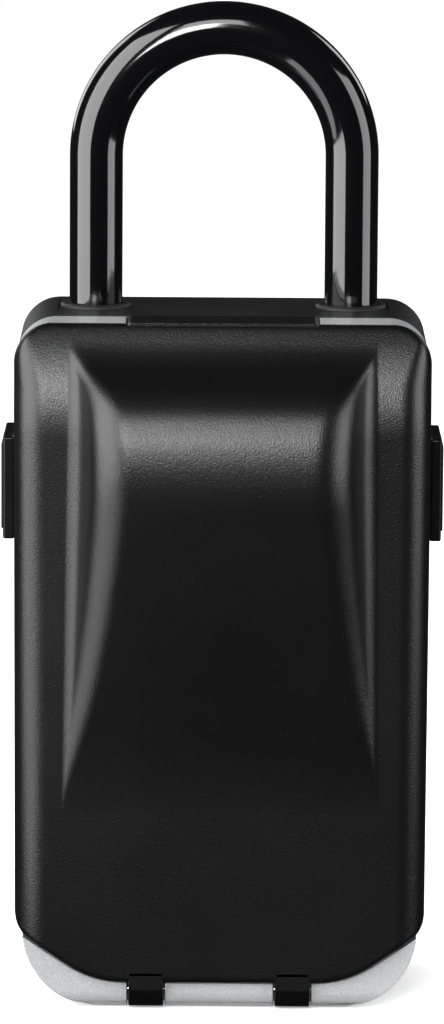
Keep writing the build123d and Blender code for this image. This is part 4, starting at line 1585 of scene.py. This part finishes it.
@dataclass
class Door:
    """Die-cast door with what it carries."""

    edge: float = 0.25
    axle_edge: float = 0.1
    pin_edge: float = 0.15
    sheet_edge: float = 0.06
    plate_edge: float = 0.2
    screws: Screws = Screws(58.0, 106.0, (0.0, -2.0, 77.0), length=3.9, turn=-90.0)
    code_ribs: Ribs = Ribs(3, (0.0, 0.4, 45.6), (0.0, 0.0, 1.5), (3.4, 0.5, 0.7))
    pull_box: tuple[float, float, float, float] = (-11.0, 10.0, 94.8, 115.4)
    pull_inner: float = 41.35
    pull_outer: float = 43.7
    pull_round: float = 2.0
    pull_steps: int = 6
    pull_edge: float = 0.45
    arm_box: tuple[float, float, float, float] = (-6.0, -4.5, 102.1, 108.1)
    arm_inner: float = 34.5
    arm_lap: float = 0.4
    rib_count: int = 6
    rib_setback: float = 3.2
    rib_step: float = 2.9
    rib_proud: float = 0.05
    rib_thick: float = 0.7
    rib_width: float = 1.1
    rib_short: float = 3.4

    def build(self, shop: Workshop) -> None:
        """Build and dress the door.

        Args:
            shop: Where the pieces are made.
        """
        for node, name, slot, width in (
            ("door_casting", "door_front", "silver_paint", self.edge),
            ("dial_shaft", "wheel_axle", "pin_steel", self.axle_edge),
            ("detent_spring", "click_leaf", "plate_steel", self.sheet_edge),
            ("door_back_cover", "mechanism_lid", "silver_paint", self.plate_edge),
            ("cover_hinge_pins", "cover_pins", "pin_steel", self.pin_edge),
        ):
            shop.refine(node, name, "door", slot, width)
        shop.refine("latch_plate", "latch_slide", "latch", "plate_steel", self.sheet_edge)
        shop.refine("reset_lever", "code_lever", "reset", "lever_black", self.plate_edge)
        shop.lay_out(self.code_ribs, "code_lever_ribs", "reset", "reset_lever")
        shop.lay_out(self.screws, "lid_screws", "door", "back_cover_screws")
        for side, name in ((-1, "left"), (1, "right")):
            self.side_pull(shop, side, name)

    def side_pull(self, shop: Workshop, side: int, name: str) -> None:
        """Build one side lever: its pad, its arm into the door and its grip ribs.

        Args:
            shop: Where the pieces are made.
            side: -1 for the left one, 1 for the right one.
            name: The side's name.
        """
        front, back, foot, top = self.pull_box
        corners = [(front, foot), (back, foot), (back, top), (front, top)]
        pad = filleted(corners, [self.pull_round] * 2, self.pull_steps)
        arm_front, arm_back, arm_foot, arm_top = self.arm_box
        arm = [
            (arm_front, arm_foot), (arm_back, arm_foot), (arm_back, arm_top), (arm_front, arm_top)
        ]
        work = bmesh.new()
        for outline, low, high in (
            (pad, self.pull_inner, self.pull_outer),
            (arm, self.arm_inner, self.pull_inner + self.arm_lap),
        ):
            prism(work, outline, 0, *sorted((side * low, side * high)))
        mesh = mesh_from(f"side_pull_{name}", work)
        piece = place_object(f"side_pull_{name}", mesh, shop.finishes["lever_black"])
        soften(piece, self.pull_edge, segments=3)
        node = f"side_lever_{name}"
        out = side * (self.pull_outer + self.rib_proud)
        first = (out, front + self.rib_setback, (foot + top) / 2)
        size = (self.rib_thick, self.rib_width, top - foot - self.rib_short)
        ribs = Ribs(self.rib_count, first, (0.0, self.rib_step, 0.0), size)
        shop.lay_out(ribs, f"side_pull_{name}_ribs", "latch", node)
        shop.seat(piece, "latch", node)


@dataclass
class Wheels:
    """Number wheels with their digits, and the hubs in them."""

    DIGITS: ClassVar[int] = 10

    count: int = 4
    pitch: float = 8.5
    radius: float = 9.0
    y_axle: float = -17.1
    height: float = 104.0
    rim_edge: float = 0.15
    hub_edge: float = 0.1
    digit_size: float = 4.6
    digit_proud: float = 0.04
    digit_curve: int = 4
    digit_cuts: int = 5
    digit_cut_step: float = 0.35
    digit_crease: float = 50.0

    def build(self, shop: Workshop) -> None:
        """Build and dress the wheels.

        Args:
            shop: Where the pieces are made.
        """
        for number in range(1, self.count + 1):
            body = f"dial_{number}"
            wheel, hub = f"number_wheel_{number}", f"dial_hub_{number}"
            shop.refine(wheel, f"wheel_{number}", body, "wheel_black", self.rim_edge)
            shop.refine(hub, f"wheel_{number}_hub", body, "hub_brass", self.hub_edge)
            self.digits(shop, number)

    def _glyph(self, digit: int) -> bmesh.types.BMesh:
        """Flat raised digit, cut across so that it can be bent.

        Args:
            digit: 0 to 9.

        Returns:
            The digit, centred, in metres.
        """
        text = bpy.data.curves.new("digit", "FONT")
        text.body = str(digit)
        text.size = self.digit_size * MM
        text.align_x = "CENTER"
        text.extrude = self.digit_proud * MM
        text.resolution_u = self.digit_curve
        stand_in = bpy.data.objects.new("digit", text)
        bpy.context.scene.collection.objects.link(stand_in)
        graph = bpy.context.evaluated_depsgraph_get()
        graph.update()
        mesh = bpy.data.meshes.new_from_object(stand_in.evaluated_get(graph), depsgraph=graph)
        bpy.data.objects.remove(stand_in)
        work = bmesh.new()
        work.from_mesh(mesh)
        bmesh.ops.remove_doubles(work, verts=work.verts, dist=WELD)
        heights = [vert.co.y for vert in work.verts]
        middle = (min(heights) + max(heights)) / 2
        for vert in work.verts:
            vert.co.y -= middle
        for step in range(-self.digit_cuts, self.digit_cuts + 1):
            geometry = list(work.verts) + list(work.edges) + list(work.faces)
            level = (0.0, step * self.digit_cut_step * MM, 0.0)
            bmesh.ops.bisect_plane(work, geom=geometry, plane_co=level, plane_no=(0.0, 1.0, 0.0))
        return work

    def digits(self, shop: Workshop, number: int) -> None:
        """Bend the ten digits round one wheel's rim.

        Args:
            shop: Where the piece is made.
            number: The wheel, counted from the left.
        """
        middle = (number - (self.count + 1) / 2) * self.pitch * MM
        ring = bmesh.new()
        for digit in range(self.DIGITS):
            work = self._glyph(digit)
            turn = math.radians(360 / self.DIGITS * digit)
            for vert in work.verts:
                reach = self.radius * MM + vert.co.z
                angle = turn + vert.co.y / (self.radius * MM)
                vert.co = (
                    middle + vert.co.x,
                    self.y_axle * MM - reach * math.cos(angle),
                    self.height * MM + reach * math.sin(angle),
                )
            part = bpy.data.meshes.new("digit")
            work.to_mesh(part)
            work.free()
            ring.from_mesh(part)
            bpy.data.meshes.remove(part)
        name = f"wheel_{number}_digits"
        mesh = mesh_from(name, ring, self.digit_crease)
        piece = place_object(name, mesh, shop.finishes["silver_paint"])
        shop.seat(piece, f"dial_{number}", f"number_wheel_{number}")


@dataclass(frozen=True)
class Panel:
    """One soft light, in metres and watts, which the camera doesn't see."""

    name: str
    place: Point
    target: Point
    size: Flat
    power: float

    def hang(self) -> None:
        """Hang the light, turned to its target."""
        data = bpy.data.lights.new(self.name, "AREA")
        data.shape = "RECTANGLE"
        data.size, data.size_y = self.size
        data.energy = self.power
        lamp = bpy.data.objects.new(self.name, data)
        lamp.location = self.place
        aim = Vector(self.target) - Vector(self.place)
        lamp.rotation_euler = aim.to_track_quat("-Z", "Y").to_euler()
        lamp.visible_camera = False
        bpy.context.scene.collection.objects.link(lamp)


# Middle of the object, in metres.
MIDDLE = (0.0, 0.0, 0.1)
PANELS = (
    Panel("key_left", (-0.509, -0.318, 0.48), (0.0, 0.0, 0.48), (0.69, 0.94), 12.5),
    Panel("low_front", (-0.165, -1.16, 0.525), MIDDLE, (0.28, 0.36), 7.6),
    Panel("top_front", (-0.09, -1.02, 0.817), MIDDLE, (0.42, 0.4), 3.3),
    Panel("bounce_left", (-0.317, -0.148, 0.004), (-0.317, -0.148, 1.0), (0.46, 0.19), 0.8),
    Panel("fill_right", (0.564, -0.205, 0.255), (0.0, 0.0, 0.255), (0.39, 0.49), 2.4),
    Panel("back_left", (-0.6, 0.8, 0.5), MIDDLE, (0.4, 0.7), 2.4),
    Panel("back_right", (0.7, 0.7, 0.6), MIDDLE, (0.3, 0.5), 1.5),
)


@dataclass
class Studio:
    """Floor, lights and camera, in metres."""

    CORNERS: ClassVar[tuple[tuple[int, int], ...]] = ((-1, -1), (1, -1), (1, 1), (-1, 1))

    floor_half: float = 14.0
    floor_tone: float = 0.93
    floor_glow: float = 0.22
    sky_strength: float = 0.8
    gloss_tone: Colour = (0.02, 0.02, 0.021)
    stand: Point = (0.0, -1.2763, 0.3145)
    tilt: float = 9.598
    roll: float = 0.371
    lens: float = 226.4
    sensor: float = 36.0
    sight: float = 100.0

    def build(self) -> None:
        """Set up the floor, the lights and the camera."""
        self.floor()
        self.sky()
        for panel in PANELS:
            panel.hang()
        self.camera()
        bpy.context.scene.view_settings.view_transform = "Standard"

    def floor(self) -> None:
        """Lay a wide pale floor, which glows a little and doesn't show in gloss."""
        work = bmesh.new()
        half = self.floor_half
        work.faces.new([work.verts.new((x * half, y * half, 0.0)) for x, y in self.CORNERS])
        mesh = bpy.data.meshes.new("floor")
        work.to_mesh(mesh)
        work.free()
        pale = bpy.data.materials.new("pale_floor")
        pale.use_nodes = True
        shader = pale.node_tree.nodes["Principled BSDF"]
        for label, value in (
            ("Base Color", (self.floor_tone, self.floor_tone, self.floor_tone, 1.0)),
            ("Emission Color", (1.0, 1.0, 1.0, 1.0)),
            ("Emission Strength", self.floor_glow),
            ("Roughness", 0.9),
            ("Specular IOR Level", 0.0),
        ):
            shader.inputs[label].default_value = value
        floor = place_object("floor", mesh, pale)
        floor.visible_glossy = False

    def sky(self) -> None:
        """Light everything softly, but keep gloss dark for the lights to draw in."""
        world = bpy.data.worlds.new("studio")
        bpy.context.scene.world = world
        world.use_nodes = True
        w = Wiring(world.node_tree)
        world.node_tree.nodes.clear()
        out = w.add("ShaderNodeOutputWorld")
        pale = w.add("ShaderNodeBackground")
        pale.inputs["Color"].default_value = (1.0, 1.0, 1.0, 1.0)
        pale.inputs["Strength"].default_value = self.sky_strength
        dark = w.add("ShaderNodeBackground")
        dark.inputs["Color"].default_value = (*self.gloss_tone, 1.0)
        ray = w.add("ShaderNodeLightPath")
        choice = w.add("ShaderNodeMixShader")
        links = (ray.outputs["Is Glossy Ray"], pale.outputs[0], dark.outputs[0])
        for place, source in enumerate(links):
            w.join(source, choice.inputs[place])
        w.join(choice.outputs[0], out.inputs["Surface"])

    def camera(self) -> None:
        """Stand the camera where the picture was taken from."""
        data = bpy.data.cameras.new("camera")
        data.sensor_fit = "VERTICAL"
        data.sensor_height = self.sensor
        data.lens = self.lens
        data.clip_end = self.sight
        view = bpy.data.objects.new("camera", data)
        view.location = self.stand
        turned = Matrix.Rotation(math.radians(90 - self.tilt), 3, "X")
        rolled = Matrix.Rotation(math.radians(self.roll), 3, "Z")
        view.rotation_euler = (turned @ rolled).to_euler()
        bpy.context.scene.collection.objects.link(view)
        bpy.context.scene.camera = view


def main() -> None:
    """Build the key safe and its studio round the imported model."""
    logging.basicConfig(level=logging.INFO, format="%(message)s")
    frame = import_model()
    effects = Effects()
    shop = Workshop(frame, {finish.slot: finish.material(effects) for finish in FINISHES})
    for assembly in (Case(), Bow(), Cover(), Door(), Wheels()):
        assembly.build(shop)
        LOG.info("%s built", type(assembly).__name__)
    Studio().build()


if __name__ == "__main__":
    main()
